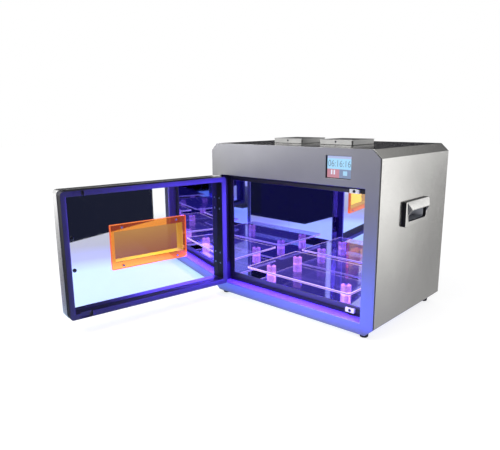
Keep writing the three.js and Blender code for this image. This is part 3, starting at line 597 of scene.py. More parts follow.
# %% Chamber mirrors
for side in ("left", "right", "back", "floor"):
    soften(f"chamber_mirror_{side}", f"mirror_{side}", "mirror", 0, ["chamber_mirror"])
print("four mirrors")

# %% [markdown]
# ## Light panels
#
# Each panel is a white board with rows of small square diodes. A diode is a little block with a
# glowing lens underneath, so a block is made for each place in the grid, and the faces that point
# down get the glowing finish. Two Array modifiers could repeat one block, but they would have to be
# applied, and a double loop says the same in plain words.

# %% Light panels
DIODE_SIZE = 0.0035
DIODE_DROP = 0.0012
DIODE_ROWS = 8
DIODE_SPREAD = 0.42
half_diode = Vector((DIODE_SIZE / 2, DIODE_SIZE / 2, 0))
for side in SIDES:
    soften(f"led_panel_{side}", f"led_{side}", "led_board", SHEET)
    low, high, middle = box_of(f"led_panel_{side}")
    reach = (high - low) * DIODE_SPREAD
    bm = bmesh.new()
    for x in evenly(middle.x - reach.x, middle.x + reach.x, DIODE_ROWS):
        for y in evenly(middle.y - reach.y, middle.y + reach.y, DIODE_ROWS):
            place = Vector((x, y, low.z))
            add_part(bm, block_part(place - half_diode - Vector((0, 0, DIODE_DROP)), place + half_diode))
    bm.normal_update()
    for face in bm.faces:
        face.material_index = 1 if face.normal.z < -FACING else 0
    finish_piece(f"diodes_{side}", bm, "cabinet", ["white_plastic", "diode"], rounding=CUT)
print(DIODE_ROWS ** 2, "diodes on each panel")

# %% [markdown]
# ## The clear shelf
#
# Cast acrylic pipes light to its cut edges, where the polished arris shows as a thin bright line,
# here a painted highlight. The plate's faces, its cut edge and its arris are therefore three finishes,
# and the Bevel modifier gives the last one to the faces that it makes. The posts are clear rods with a
# painted pink glow for the violet light in them, each with a steel screw down its middle.

# %% Shelf and posts
SHELF_ARRIS = 0.0010
SHELF_SCREW = (0.0045, 0.0016)
SHANK_RADIUS = 0.0022
SHANK_DEEP = 0.022


def shelf_look(face):
    return 0 if abs(face.normal.z) > FACING else 1


shelf = soften("shelf_plate", "shelf", "clear_acrylic", SHELF_ARRIS,
               ["clear_acrylic", "clear_acrylic_edge", "arris_painted_highlight"], shelf_look)
# The arris faces get the painted highlight.
shelf.modifiers["rounded_edges"].material = 2
shelf_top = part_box("shelf_plate")[1].z
post_tops = []
for row in ROWS:
    for side in SIDES:
        soften(f"shelf_post_{row}_{side}", f"post_{row}_{side}", "clear_acrylic", MOULDED, ["post_acrylic"])
        middle = box_of(f"shelf_post_{row}_{side}")[2]
        post_tops.append(Vector((middle.x, middle.y, shelf_top)))
screws("shelf_screws", "cabinet", "dark_steel", post_tops, UP, SHELF_SCREW)
bm = bmesh.new()
for top in post_tops:
    add_part(bm, rod_part(SHANK_RADIUS, -SHANK_DEEP, 0), towards(top, UP))
finish_piece("shelf_screw_shanks", bm, "cabinet", ["bright_steel"])
print("shelf on", len(post_tops), "posts")

# %% [markdown]
# ## Vent covers
#
# Two shallow covers keep dust out of the fans. Each stands on black rubber buffers, of which the
# three behind its front edge show, and a small screw in its front holds it. The buffers and screws
# are turned parts. The cover is a folded box, so the CAD solid only needs its edges rounded.

# %% Vent covers
BUFFER_RADIUS = 0.004
BUFFER_TALL = 0.0012
BUFFER_INSET = 0.008
BUFFER_ASIDE = 0.004
VENT_SCREW = (0.0021, 0.0009)
VENT_SCREW_RAISED = 0.001
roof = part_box("outer_shell")[1].z
for side in SIDES:
    soften(f"vent_cover_{side}", f"vent_{side}", "brushed_silver", SHEET, ["vent_silver"], split=True)
    low, high, middle = box_of(f"vent_cover_{side}")
    spot = Vector((middle.x, low.y, middle.z + VENT_SCREW_RAISED))
    screws(f"vent_screw_{side}", "cabinet", "dark_steel", [spot], TO_FRONT, VENT_SCREW)
    bm = bmesh.new()
    for x in (low.x + BUFFER_INSET, high.x - BUFFER_INSET, middle.x + BUFFER_ASIDE):
        place = Matrix.Translation((x, low.y + BUFFER_RADIUS, roof))
        add_part(bm, rod_part(BUFFER_RADIUS, 0, BUFFER_TALL), place)
    finish_piece(f"vent_buffers_{side}", bm, "cabinet", ["black_rubber"])
print("vent covers ready")

# %% [markdown]
# ## Fans and heat sinks
#
# Under each cover a bought-in fan blows through a finned heat sink that cools the light panel. The
# fan's frame and rotor are moulded, and the sink is cast. They are hardly seen, so the CAD shapes
# are kept and only lose their razor edges, and a screw is set in each corner of the frame.

# %% Fans and heat sinks
FAN_SCREW = (0.0028, 0.001)
FAN_SCREW_INSET = 0.0045
for side in SIDES:
    soften(f"fan_frame_{side}", f"fan_{side}", "black_plastic", CRISP, split=True)
    soften(f"fan_rotor_{side}", f"rotor_{side}", "black_plastic", CUT)
    soften(f"heat_sink_{side}", f"sink_{side}", "cast_aluminium", CUT)
    low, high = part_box(f"fan_frame_{side}")
    corners = [Vector((x, y, high.z)) for x in (low.x + FAN_SCREW_INSET, high.x - FAN_SCREW_INSET)
               for y in (low.y + FAN_SCREW_INSET, high.y - FAN_SCREW_INSET)]
    screws(f"fan_screws_{side}", "cabinet", "bright_steel", corners, UP, FAN_SCREW)
print("fans ready")

# %% [markdown]
# ## Side handles
#
# A side handle is a black plastic frame that stands out of the casing, with a silver cap over it.
# The cap's upper half rises to a hood, and the fingers go under its lip into a black pocket. The CAD
# holds frame and cap as one solid. A copy of it is cut in two by a plane with bisect_plane, once for
# each part, and each cut is closed with triangle_fill, which copes with the hole in the middle. The
# cap's wide faces are split into triangles too, so that its rounding leaves the hole open.

# %% Handle frames, caps and pockets
HANDLE_PLATE = 0.0075
CAP_THICK = 0.0009
CAP_GAP = 0.0001


def cut_closed(bm, place, normal):
    """Keeps what lies behind the plane, and closes the cut."""
    everything = bm.verts[:] + bm.edges[:] + bm.faces[:]
    cut = bmesh.ops.bisect_plane(bm, geom=everything, dist=MERGE, plane_co=place, plane_no=normal,
                                 clear_outer=True)["geom_cut"]
    edges = [item for item in cut if isinstance(item, bmesh.types.BMEdge)]
    bmesh.ops.triangle_fill(bm, use_beauty=True, use_dissolve=True, edges=edges)
    bmesh.ops.recalc_face_normals(bm, faces=bm.faces)


shell_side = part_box("outer_shell")[1].x
cap_back = shell_side + HANDLE_PLATE - CAP_THICK
for side, sign in zip(SIDES, (-1, 1)):
    node = f"handle_bezel_{side}"
    cap = merged_copy(node)
    cut_closed(cap, (sign * cap_back, 0, 0), (-sign, 0, 0))
    bmesh.ops.triangulate(cap, faces=cap.faces)
    finish_piece(f"handle_cap_{side}", cap, "cabinet", ["brushed_silver"], [node],
                 TRIMMED)
    rim = merged_copy(node)
    cut_closed(rim, (sign * (cap_back - CAP_GAP), 0, 0), (sign, 0, 0))
    finish_piece(f"handle_rim_{side}", rim, "cabinet", ["black_plastic"], rounding=TRIMMED)
    # The pocket gets a grey of painted light in its black hollow.
    soften(f"handle_pocket_{side}", f"pocket_{side}", "black_plastic", SHEET, ["pocket_painted_light"])
print("handle caps, rims and pockets ready")

# %% [markdown]
# ## Feet
#
# The feet are rubber, each held by a screw in a hole in its sole. A softened cylinder would do from
# afar. A turned outline also gives the hole, the dished sole and the flare, in a handful of points:
# it runs from the hole's floor down its wall, out over the sole and up the side.

# %% Feet
FOOT_HOLE = 0.36
FOOT_HOLE_DEEP = 0.45
FOOT_SCREW = (0.8, 0.0016)
SOLE_EDGE = 0.0005
for row in ROWS:
    for side in SIDES:
        node = f"foot_{row}_{side}"
        low, high, middle = box_of(node)
        radius = (high.x - low.x) / 2
        tall = high.z - low.z
        hole = FOOT_HOLE * radius
        floor = FOOT_HOLE_DEEP * tall
        profile = [
            (0, floor), (hole, floor), (hole, SOLE_EDGE), (1.15 * hole, 0), (0.76 * radius, 0),
            (0.86 * radius, SOLE_EDGE), (0.93 * radius, 0.0018), (radius, tall - 0.0012),
            (0.97 * radius, tall), (0, tall),
        ]
        bm = bmesh.new()
        add_part(bm, turned_part(profile, WIDE_STEPS), Matrix.Translation((middle.x, middle.y, low.z)))
        finish_piece(f"rubber_foot_{row}_{side}", bm, "cabinet", ["black_rubber"], [node])
        spot = Vector((middle.x, middle.y, low.z + floor))
        size = (FOOT_SCREW[0] * hole, FOOT_SCREW[1])
        screws(f"foot_screw_{row}_{side}", "cabinet", "bright_steel", [spot], DOWN, size)
print("four feet")

# %% [markdown]
# ## Magnetic catches
#
# A catch is a white plastic block with a black magnet let into its front. Beside it sits a black
# block, just behind the place where the shut door's rim comes. The door carries a strike plate for
# each, lacquered like the rim. The magnet is a short turned disc, and the black block is bevelled,
# because both are too small for more.

# %% Catches and strike plates
MAGNET_RADIUS = 0.0033
MAGNET_ROUND = 0.0003
MAGNET_PROUD = 0.0004
MAGNET_SUNK = 0.0008
DARK_BLOCK_WIDE = 0.012
DARK_BLOCK_GAP = 0.0003
DARK_BLOCK_INSET = 0.0004
DARK_BLOCK_AIR = 0.0005
magnet_outline = [
    (0, -MAGNET_SUNK), (MAGNET_RADIUS, -MAGNET_SUNK), (MAGNET_RADIUS, MAGNET_PROUD - MAGNET_ROUND),
    (MAGNET_RADIUS - MAGNET_ROUND, MAGNET_PROUD), (0, MAGNET_PROUD),
]
for place in LEVELS:
    soften(f"magnet_catch_{place}", f"catch_{place}", "white_plastic", SHEET)
    soften(f"strike_plate_{place}", f"strike_{place}", "bright_steel", CUT, ["rim_plastic"])
    low, high, middle = box_of(f"magnet_catch_{place}")
    bm = bmesh.new()
    add_part(bm, turned_part(magnet_outline), towards((middle.x, low.y, middle.z), TO_FRONT))
    finish_piece(f"catch_magnet_{place}", bm, "cabinet", ["black_plastic"])
    # A small black block beside the catch, where the frame is dark.
    bm = bmesh.new()
    start = (high.x + DARK_BLOCK_GAP, rim_high.y + DARK_BLOCK_AIR, low.z + DARK_BLOCK_INSET)
    add_part(bm, block_part(start, (high.x + DARK_BLOCK_WIDE, high.y, high.z - DARK_BLOCK_INSET)))
    finish_piece(f"catch_dark_block_{place}", bm, "cabinet", ["black_plastic"],
                 rounding=MOULDED)
print("catches ready")

# %% [markdown]
# ## The door's shell and rim
#
# The door is a silver pan with a moulded black rim inside it. The rim is not flat: its inner half
# slopes down to the looking glass, so it shows two tones. The slope is made on a copy of the rim by
# bevelling the inner edge of its face, and lifting the bevel's lower side until the slope is shallow.
# The rim's big upright walls face the cabinet's shadow, so they get the deeper black.

# %% Door shell and rim
SLOPE_WIDE = 0.0055
SLOPE_DEEP = 0.0014
ON_FACE = 10 * MERGE
EDGE_ON = 0.05
BIG_WALL = 0.0006
soften("door_skin", "door_shell", "door_silver", SHEET)


def is_inner_rim_edge(edge):
    """True for the edges where the rim's face meets its inner wall."""
    for vertex in edge.verts:
        place = SHUT @ vertex.co
        across = min(place.x - rim_low.x, rim_high.x - place.x)
        along = min(place.z - rim_low.z, rim_high.z - place.z)
        if abs(place.y - rim_high.y) > ON_FACE or min(across, along) < 2 * SLOPE_WIDE:
            return False
    return True


rim = merged_copy("door_rim")
inner_edges = [edge for edge in rim.edges if is_inner_rim_edge(edge)]
made = bmesh.ops.bevel(rim, geom=inner_edges, offset=SLOPE_WIDE, offset_type="OFFSET", affect="EDGES",
                       segments=1, profile=0.5, material=-1, clamp_overlap=False)
for vertex in made["verts"]:
    place = SHUT @ vertex.co
    if place.y < rim_high.y - SLOPE_WIDE / 2:
        place.y = rim_high.y - SLOPE_DEEP
        vertex.co = OPEN @ place
rim.normal_update()
for face in rim.faces:
    is_wall = abs(face.normal @ INWARD) < EDGE_ON and face.calc_area() > BIG_WALL
    face.material_index = 1 if is_wall else 0
finish_piece("door_frame", rim, "door", ["rim_plastic", "wall_painted_shade"], ["door_rim"], SHEET)
print(len(inner_edges), "rim edges sloped")

# %% [markdown]
# ## Looking glass, window and sleeve
#
# Inside the rim the door is lined with a looking glass. The window is an orange acrylic plate over a
# hole in it, and a white sleeve lines that hole through the foam filling. The plate has two
# finishes: its cut edge pipes the violet light and glows more than its faces do. Which is which is
# told by the way a face points, as on the recess.

# %% Looking glass, window and sleeve
HALFWAY = 0.5


def window_look(face):
    return 1 if abs(face.normal @ INWARD) < HALFWAY else 0


soften("door_mirror", "door_looking_glass", "mirror", 0)
soften("window_sleeve", "window_lining", "white_plastic", CUT)
soften("door_core", "door_filling", "foam", CUT)
soften("door_window", "window", "orange_acrylic", MOULDED, ["orange_acrylic", "orange_acrylic_edge"],
       window_look)
print("window ready")

# %% [markdown]
# ## The door's screws
#
# Four ball-headed screws hold the window's plate, two screws come through the looking glass from the
# pull handle, and each hinge leaf is held by a pair of screws in the rim's inner wall. A ball head
# starts from a sphere that is flattened a little, and the others come from the turned outline. All
# are placed on the shut door, and the hinge's matrix takes them along.

# %% Window, handle and hinge screws
WINDOW_SCREWS = (0.068, 0.0435)
BALL_RADIUS = 0.0026
BALL_SQUEEZE = (1, 1, 0.8)
PULL_SCREW = (0.0042, 0.0022)
PULL_SCREW_INSET = 0.0045
HINGE_SCREW = (0.0022, 0.0012)
HINGE_SCREW_APART = 0.0135
HINGE_SCREW_BACK = 0.0125
RIM_WIDE = 0.013
RIM_STEP = 0.0012
plate_high, plate_middle = shut_box("door_window")[1:]
bm = bmesh.new()
for across in (-1, 1):
    for up in (-1, 1):
        spot = Vector((plate_middle.x + across * WINDOW_SCREWS[0], plate_high.y,
                       plate_middle.z + up * WINDOW_SCREWS[1]))
        head = bmesh.new()
        bmesh.ops.create_uvsphere(head, u_segments=16, v_segments=10, radius=BALL_RADIUS)
        bmesh.ops.scale(head, vec=BALL_SQUEEZE, verts=head.verts)
        add_part(bm, head, towards(OPEN @ spot, INWARD))
finish_piece("window_screws", bm, "door", ["violet_lit_steel"])
pull_low, pull_high, pull_middle = shut_box("door_handle")
pull_reach = (pull_high.z - pull_low.z) / 2 - PULL_SCREW_INSET
pull_heights = [pull_middle.z + up * pull_reach for up in (-1, 1)]
glass_front = shut_box("door_mirror")[1].y
pull_spots = [(pull_middle.x, glass_front, z) for z in pull_heights]
door_screws("handle_screws", "dark_steel", pull_spots, TO_BACK, PULL_SCREW)
for place in LEVELS:
    middle = shut_box(f"hinge_{place}_door_leaf")[2]
    wall = Vector((rim_low.x + RIM_WIDE - RIM_STEP, rim_high.y - HINGE_SCREW_BACK, middle.z))
    spots = [wall + Vector((0, 0, up * HINGE_SCREW_APART)) for up in (-1, 1)]
    door_screws(f"hinge_screws_{place}", "violet_lit_steel", spots, TO_RIGHT, HINGE_SCREW)
print("door screws ready")

# %% [markdown]
# ## Pull handle and hinges
#
# On the outside a bent steel bar serves as the pull handle. It gets a wider rounding in three
# steps, since a hand feels it, and a turned collar hides each hole it enters. A butt hinge is two
# leaves on a pin: one leaf stays on the cabinet and the other rides on the door. They are stamped
# and dark, so a crisp edge is enough.

# %% Pull handle and hinges
PULL_ROUND = 0.0012
COLLAR_RADIUS = 0.0078
COLLAR_ROUND = 0.0012
COLLAR_EDGE = 0.0006
COLLAR_TALL = 0.0014
LEAF_SCREW = (0.0018, 0.0002)
LEAF_SCREW_FRONT = 0.005
soften("door_handle", "pull_handle", "bright_steel", PULL_ROUND, segments=3)
collar_outline = [
    (0, 0), (COLLAR_RADIUS, 0), (COLLAR_RADIUS, COLLAR_EDGE), (COLLAR_RADIUS - COLLAR_ROUND, COLLAR_TALL),
    (0, COLLAR_TALL),
]
bm = bmesh.new()
for z in pull_heights:
    spot = OPEN @ Vector((pull_middle.x, skin_low.y, z))
    add_part(bm, turned_part(collar_outline, WIDE_STEPS), towards(spot, -INWARD))
finish_piece("pull_handle_collars", bm, "door", ["bright_steel"])
for place in LEVELS:
    soften(f"hinge_{place}_frame_leaf", f"hinge_frame_{place}", "bright_steel", CRISP, ["dark_steel"])
    soften(f"hinge_{place}_door_leaf", f"hinge_door_{place}", "bright_steel", CRISP, ["dark_steel"])
    soften(f"hinge_{place}_pin", f"pin_{place}", "bright_steel", CRISP)
    high, middle = box_of(f"hinge_{place}_frame_leaf")[1:]
    spots = [Vector((high.x, high.y - LEAF_SCREW_FRONT, middle.z + up * HINGE_SCREW_APART))
             for up in (-1, 1)]
    screws(f"frame_leaf_screws_{place}", "cabinet", "violet_lit_steel", spots, TO_RIGHT, LEAF_SCREW)
print("pull handle and hinges ready")

# %% [markdown]
# ## The touch screen
#
# The screen is a lit panel behind glass. It shows a bar, a clock with plain digits, a red tile with
# two pause bars and a slate tile with a pale square. A screen could be one glowing sheet with an
# image on it. Here each patch is a thin block of its own with its own glow, which stays sharp at any
# distance. A patch is given by its spans across and up the screen, as shares of the lit part.

# %% Screen
SCREEN_BORDER = 0.004
PATCH_THICK = 0.0002
soften("display_glass", "screen_glass", "screen", TRIMMED, ["black_plastic"])
glass_low, glass_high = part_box("display_glass")
screen_low = glass_low + Vector((SCREEN_BORDER, 0, SCREEN_BORDER))
screen_high = glass_high - Vector((SCREEN_BORDER, 0, SCREEN_BORDER))


def screen_place(across, up):
    """A place on the screen, from 0 to 1 across and from 0 to 1 upwards."""
    x = screen_low.x + across * (screen_high.x - screen_low.x)
    return x, screen_low.z + up * (screen_high.z - screen_low.z)


bm = bmesh.new()
for across, up, look, layer in (
    ((0.035, 0.99), (0.87, 0.98), "screen_bar", 1),
    ((0.035, 0.99), (0.41, 0.87), "screen_sky", 1),
    ((0.035, 0.52), (0.03, 0.41), "screen_red", 1),
    ((0.52, 0.99), (0.03, 0.41), "screen_slate", 1),
    ((0.19, 0.245), (0.17, 0.37), "screen_white", 2),
    ((0.295, 0.35), (0.17, 0.37), "screen_white", 2),
    ((0.67, 0.83), (0.15, 0.34), "screen_pale", 2),
):
    x0, z0 = screen_place(across[0], up[0])
    x1, z1 = screen_place(across[1], up[1])
    front = glass_low.y - layer * PATCH_THICK
    patch = block_part((x0, front, z0), (x1, front + PATCH_THICK, z1))
    add_part(bm, patch, look=list(SCREEN_COLOURS).index(look))
finish_piece("screen_patches", bm, "cabinet", SCREEN_COLOURS)
print("screen", [round(v, 4) for v in screen_high - screen_low])

# %% [markdown]
# ## Digits
#
# The clock's digits are a text object. It is made a mesh before it is turned upright and placed,
# because a finished piece's object stays at the origin. The writing is then stretched to the room
# that the clock has, whatever the font's own size is.

# %% Digits
DIGITS = "06:16:16"
DIGITS_ACROSS = (0.07, 0.96)
DIGITS_UP = (0.50, 0.78)
curve = bpy.data.curves.new("digits", "FONT")
curve.body = DIGITS
curve.align_x = "CENTER"
curve.align_y = "CENTER"
curve.extrude = PATCH_THICK / 4
writing = bpy.data.objects.new("digits", curve)
scene.collection.objects.link(writing)
bpy.context.view_layer.update()
mesh = bpy.data.meshes.new_from_object(writing.evaluated_get(bpy.context.evaluated_depsgraph_get()))
bpy.data.objects.remove(writing)
bm = bmesh.new()
bm.from_mesh(mesh)
bpy.data.meshes.remove(mesh)
bmesh.ops.remove_doubles(bm, verts=bm.verts, dist=MERGE)
wide = max(vertex.co.x for vertex in bm.verts) - min(vertex.co.x for vertex in bm.verts)
tall = max(vertex.co.y for vertex in bm.verts) - min(vertex.co.y for vertex in bm.verts)
left, low_z = screen_place(DIGITS_ACROSS[0], DIGITS_UP[0])
right, high_z = screen_place(DIGITS_ACROSS[1], DIGITS_UP[1])
for vertex in bm.verts:
    vertex.co.x *= (right - left) / wide
    vertex.co.y *= (high_z - low_z) / tall
stand = Matrix.Translation(((left + right) / 2, glass_low.y - 2 * PATCH_THICK, (low_z + high_z) / 2))
bmesh.ops.transform(bm, matrix=stand @ Matrix.Rotation(pi / 2, 4, "X"), verts=bm.verts)
finish_piece("screen_digits", bm, "cabinet", ["screen_ink"])
print("screen shows", DIGITS)

# %% [markdown]
# ## The back
#
# The mains inlet is one moulding with its socket and rocker frame, and the rocker is a piece of its
# own that tips. Screws hold the inlet and the rear panel. The panel's screws keep clear of the
# chamfered corners, so their places are stepped evenly between the chamfers, on all four edges.

# %% Rear screws and inlet
REAR_INSET = 0.009
REAR_CHAMFER = 0.026
REAR_SCREW = (0.003, 0.0016)
INLET_SCREW = (0.0018, 0.0008)
INLET_SCREW_INSET = 0.0026
soften("power_inlet", "mains_inlet", "black_plastic", MOULDED)
soften("power_switch_rocker", "rocker", "black_plastic", SHEET)
low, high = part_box("rear_panel")
rear_spots = []
for x in (low.x + REAR_INSET, high.x - REAR_INSET):
    for z in evenly(low.z + REAR_CHAMFER, high.z - REAR_CHAMFER, 3):
        rear_spots.append(Vector((x, high.y, z)))
for z in (low.z + REAR_INSET, high.z - REAR_INSET):
    for x in evenly(low.x + REAR_CHAMFER, high.x - REAR_CHAMFER, 4):
        rear_spots.append(Vector((x, high.y, z)))
screws("rear_screws", "cabinet", "dark_steel", rear_spots, TO_BACK, REAR_SCREW)
low, high, middle = box_of("power_inlet")
inlet_spots = [Vector((x, high.y, middle.z))
               for x in (low.x + INLET_SCREW_INSET, high.x - INLET_SCREW_INSET)]
screws("inlet_screws", "cabinet", "bright_steel", inlet_spots, TO_BACK, INLET_SCREW)
print(len(rear_spots), "rear screws")

# %% [markdown]
# ## Boards and supply
#
# Behind the chamber sit the controller board and a power supply in a steel case, and the screen has
# a board of its own. The controller's CAD solid holds board and components in one, so the faces near
# the board's own level are green and the rest are black, like the chips and plugs on it.

# %% Boards and supply
BOARD_LEVEL = 0.0086
BOARD_BAND = 0.0012
board_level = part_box("controller_board")[0].z + BOARD_LEVEL


def board_look(face):
    return 0 if abs(face.calc_center_median().z - board_level) < BOARD_BAND else 1


soften("controller_board", "controller", "circuit_board", CRISP, ["circuit_board", "black_plastic"],
       board_look)
soften("display_board", "screen_board", "circuit_board", CRISP)
soften("power_supply", "supply_case", "bright_steel", CUT)
print("inside ready")

# %% [markdown]
# ## The world
#
# Polished metal shows its surroundings, so what the metal sees matters as much as the lamps do. The
# world is plain white to the camera and to reflections, and a softer grey to the rays that light
# things. An image of a studio could be wrapped round the scene instead, but two plain colours and a
# Light Path node keep the light even and need no file.

# %% World
AMBIENT = (0.62, 0.62, 0.63)
BACKDROP = (1, 1, 1)


def feed(links, socket, value):
    """Sets a socket to a number or colour, or links it to another node's output."""
    if isinstance(value, bpy.types.NodeSocket):
        links.new(value, socket)
    else:
        socket.default_value = value


def math_node(nodes, links, operation, first, second):
    node = nodes.new("ShaderNodeMath")
    node.operation = operation
    for socket, value in zip(node.inputs, (first, second)):
        feed(links, socket, value)
    return node.outputs[0]


def ray_kinds(nodes, links):
    """Camera rays, and glossy or transmission rays."""
    path = nodes.new("ShaderNodeLightPath")
    through = math_node(nodes, links, "MAXIMUM", path.outputs["Is Glossy Ray"],
                        path.outputs["Is Transmission Ray"])
    return path.outputs["Is Camera Ray"], through


world = bpy.data.worlds.new("studio")
scene.world = world
world.use_nodes = True
nodes, links = world.node_tree.nodes, world.node_tree.links
ambient = nodes["Background"]
ambient.inputs["Color"].default_value = (*AMBIENT, 1)
backdrop = nodes.new("ShaderNodeBackground")
backdrop.inputs["Color"].default_value = (*BACKDROP, 1)
mix = nodes.new("ShaderNodeMixShader")
links.new(math_node(nodes, links, "MAXIMUM", *ray_kinds(nodes, links)), mix.inputs["Fac"])
links.new(ambient.outputs[0], mix.inputs[1])
links.new(backdrop.outputs[0], mix.inputs[2])
links.new(mix.outputs[0], nodes["World Output"].inputs["Surface"])
print("world ready")

# %% [markdown]
# ## Sheets of the stage
#
# The floor and the cards are no part of the object, only of the stage. Each is one face,
# because nothing of it is seen but its light. Its material is wired from nothing, so the shader that
# a new material brings is cleared away first. A corner list runs round the sheet.

# %% Stage sheets
def stage_sheet(name, corners, material, shown=None):
    bm = bmesh.new()
    bm.faces.new([bm.verts.new(corner) for corner in corners])
    mesh = bpy.data.meshes.new(name)
    bm.to_mesh(mesh)
    bm.free()
    mesh.materials.append(material)
    sheet = bpy.data.objects.new(name, mesh)
    scene.collection.objects.link(sheet)
    for flag, value in (shown or {}).items():
        setattr(sheet, flag, value)


def lying(across, deep, level):
    (x0, x1), (y0, y1) = across, deep
    return [(x0, y0, level), (x1, y0, level), (x1, y1, level), (x0, y1, level)]


def emission_node(nodes, links, colour, strength):
    node = nodes.new("ShaderNodeEmission")
    feed(links, node.inputs["Color"], colour)
    feed(links, node.inputs["Strength"], strength)
    return node.outputs[0]


def add_shaders(nodes, links, first, second):
    node = nodes.new("ShaderNodeAddShader")
    links.new(first, node.inputs[0])
    links.new(second, node.inputs[1])
    return node.outputs[0]


def stage_material(name, shader):
    """A material whose only shader is what shader(nodes, links) gives."""
    material, nodes, links = new_material(name)
    nodes.clear()
    output = nodes.new("ShaderNodeOutputMaterial")
    links.new(shader(nodes, links), output.inputs["Surface"])
    return material


print("stage helpers ready")

# %% [markdown]
# ## The floor's two faces
#
# To the camera the floor is almost white, and it takes the object's shadow. In a reflection it is a
# bench lit by the chamber: pale blue in front of the doorway, dark beyond it, and lighter again far
# away. A colour ramp on the distance from a point in front of the chamber gives that.

# %% Floor
STAGE_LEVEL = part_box("foot_front_left")[0].z
FLOOR_HALF = 8.0
FLOOR_PAINT = (0.42, 0.42, 0.42)
FLOOR_SEEN = (0.77, 0.77, 0.77)
GLOW_CENTRE = (-0.1, -0.4, STAGE_LEVEL)
BENCH_REACH = 2.5
BENCH_TONES = [
    (0.29, (0.42, 0.66, 0.95)), (0.42, (0.22, 0.26, 0.72)), (0.60, (0.22, 0.22, 0.34)),
    (1.05, (0.34, 0.34, 0.38)), (1.60, (1.0, 1.0, 1.0)),
]


def floor_shader(nodes, links):
    paint = nodes.new("ShaderNodeBsdfDiffuse")
    paint.inputs["Color"].default_value = (*FLOOR_PAINT, 1)
    distance = nodes.new("ShaderNodeVectorMath")
    distance.operation = "DISTANCE"
    distance.inputs[1].default_value = GLOW_CENTRE
    links.new(nodes.new("ShaderNodeTexCoord").outputs["Object"], distance.inputs[0])
    share = math_node(nodes, links, "DIVIDE", distance.outputs["Value"], BENCH_REACH)
    stops = [(place / BENCH_REACH, colour) for place, colour in BENCH_TONES]
    camera_ray, through_ray = ray_kinds(nodes, links)
    seen = emission_node(nodes, links, (*FLOOR_SEEN, 1), camera_ray)
    mirrored = emission_node(nodes, links, colour_ramp(nodes, links, share, stops), through_ray)
    return add_shaders(nodes, links, add_shaders(nodes, links, seen, mirrored), paint.outputs[0])


floor_half = (-FLOOR_HALF, FLOOR_HALF)
stage_sheet("floor", lying(floor_half, floor_half, STAGE_LEVEL), stage_material("pale_floor", floor_shader))
print("floor at", round(STAGE_LEVEL, 4))

# %% [markdown]
# ## Studio cards
#
# Cards stand round the object, as dark and pale boards stand round a shiny thing in a studio. A card
# is one glowing face. The camera, the shadows and the soft light don't see it. Some cards are for
# reflections only, some are for what is seen through the orange window, and some are for both.

# %% Plain cards
FOR_BOTH = {"visible_camera": False, "visible_diffuse": False, "visible_shadow": False}
FOR_MIRRORS = {**FOR_BOTH, "visible_transmission": False}
FOR_WINDOW = {**FOR_BOTH, "visible_glossy": False}
CARD_LEVEL = STAGE_LEVEL + 0.003


def card_material(name, colour=None, paint=None, strength=1.0):
    """An even card, or one whose colour paint(nodes, links, x, y, z) works out."""
    def shader(nodes, links):
        if colour:
            return emission_node(nodes, links, (*colour, 1), strength)
        place = nodes.new("ShaderNodeTexCoord")
        split = nodes.new("ShaderNodeSeparateXYZ")
        links.new(place.outputs["Object"], split.inputs[0])
        return emission_node(nodes, links, paint(nodes, links, *split.outputs), strength)
    return stage_material(name, shader)


def standing_card(name, start, end, heights, material, shown=FOR_MIRRORS):
    low, high = heights
    stage_sheet(name, [(*start, low), (*end, low), (*end, high), (*start, high)], material, shown)


def lying_card(name, across, deep, material, shown=FOR_MIRRORS):
    stage_sheet(name, lying(across, deep, CARD_LEVEL), material, shown)


night = card_material("night_card", (0.012, 0.012, 0.05))
slate = card_material("slate_card", (0.012, 0.014, 0.03))
roof_card = card_material("roof_card", (0.03, 0.03, 0.035))
strip_card = card_material("strip_card", (0.95, 0.95, 0.97))
white_card = card_material("white_card", (1.0, 1.0, 1.0), strength=2.2)
# These keep the chamber's mirrors dark: a board at the right, the floor ahead and the wall ahead.
standing_card("right_flag", (0.50, -0.55), (0.83, -0.01), (STAGE_LEVEL, 0.9), slate, FOR_BOTH)
lying_card("front_dark", (0.18, 3.0), (-3.0, -0.475), night, FOR_BOTH)
standing_card("front_flag", (0.13, -2.0), (3.0, -2.0), (CARD_LEVEL, 2.0), night, FOR_BOTH)
# The flat roof reflects a dark board behind the object.
standing_card("roof_flag", (-9.0, 1.2), (0.10, 1.2), (0.28, 9.0), roof_card)
# A narrow white strip in front of the dark wall shows as a bright band in the rear mirror.
standing_card("front_strip", (1.04, -1.98), (1.085, -1.98), (0.05, 2.0), strip_card, FOR_BOTH)
# In the chamber's mirrors the orange window has this bright floor behind it, and looks yellow.
lying_card("window_floor", (-1.8, -0.45), (-2.4, -0.8), white_card, FOR_WINDOW)
print("plain cards ready")

# %% [markdown]
# ## The side's gradient
#
# Brushed sheet shows a soft gradient. The right side looks along the floor behind it, so a long card
# there carries the gradient: dark at the cabinet's foot and light far away, and darker again towards
# the rear. Both are worked out from where a look that grazes the side meets the card. The other
# gradients are simpler: a card runs through a few tones along one axis.

# %% Gradient cards
SIDE_SLANT = 0.457
SIDE_AWAY = 1.006
SIDE_FADE = (-0.10, 0.03)
SIDE_REACH = 5.0
SIDE_FRONT_TONES = [
    (0.02, (0.30, 0.30, 0.31)), (0.08, (0.43, 0.43, 0.43)), (0.17, (0.64, 0.64, 0.63)),
    (0.36, (0.96, 0.96, 0.95)), (0.85, (1.0, 1.0, 0.99)),
]
SIDE_BACK_TONES = [
    (0.02, (0.26, 0.26, 0.26)), (0.12, (0.20, 0.20, 0.20)), (0.40, (0.14, 0.14, 0.14)),
    (1.0, (0.30, 0.30, 0.30)),
]


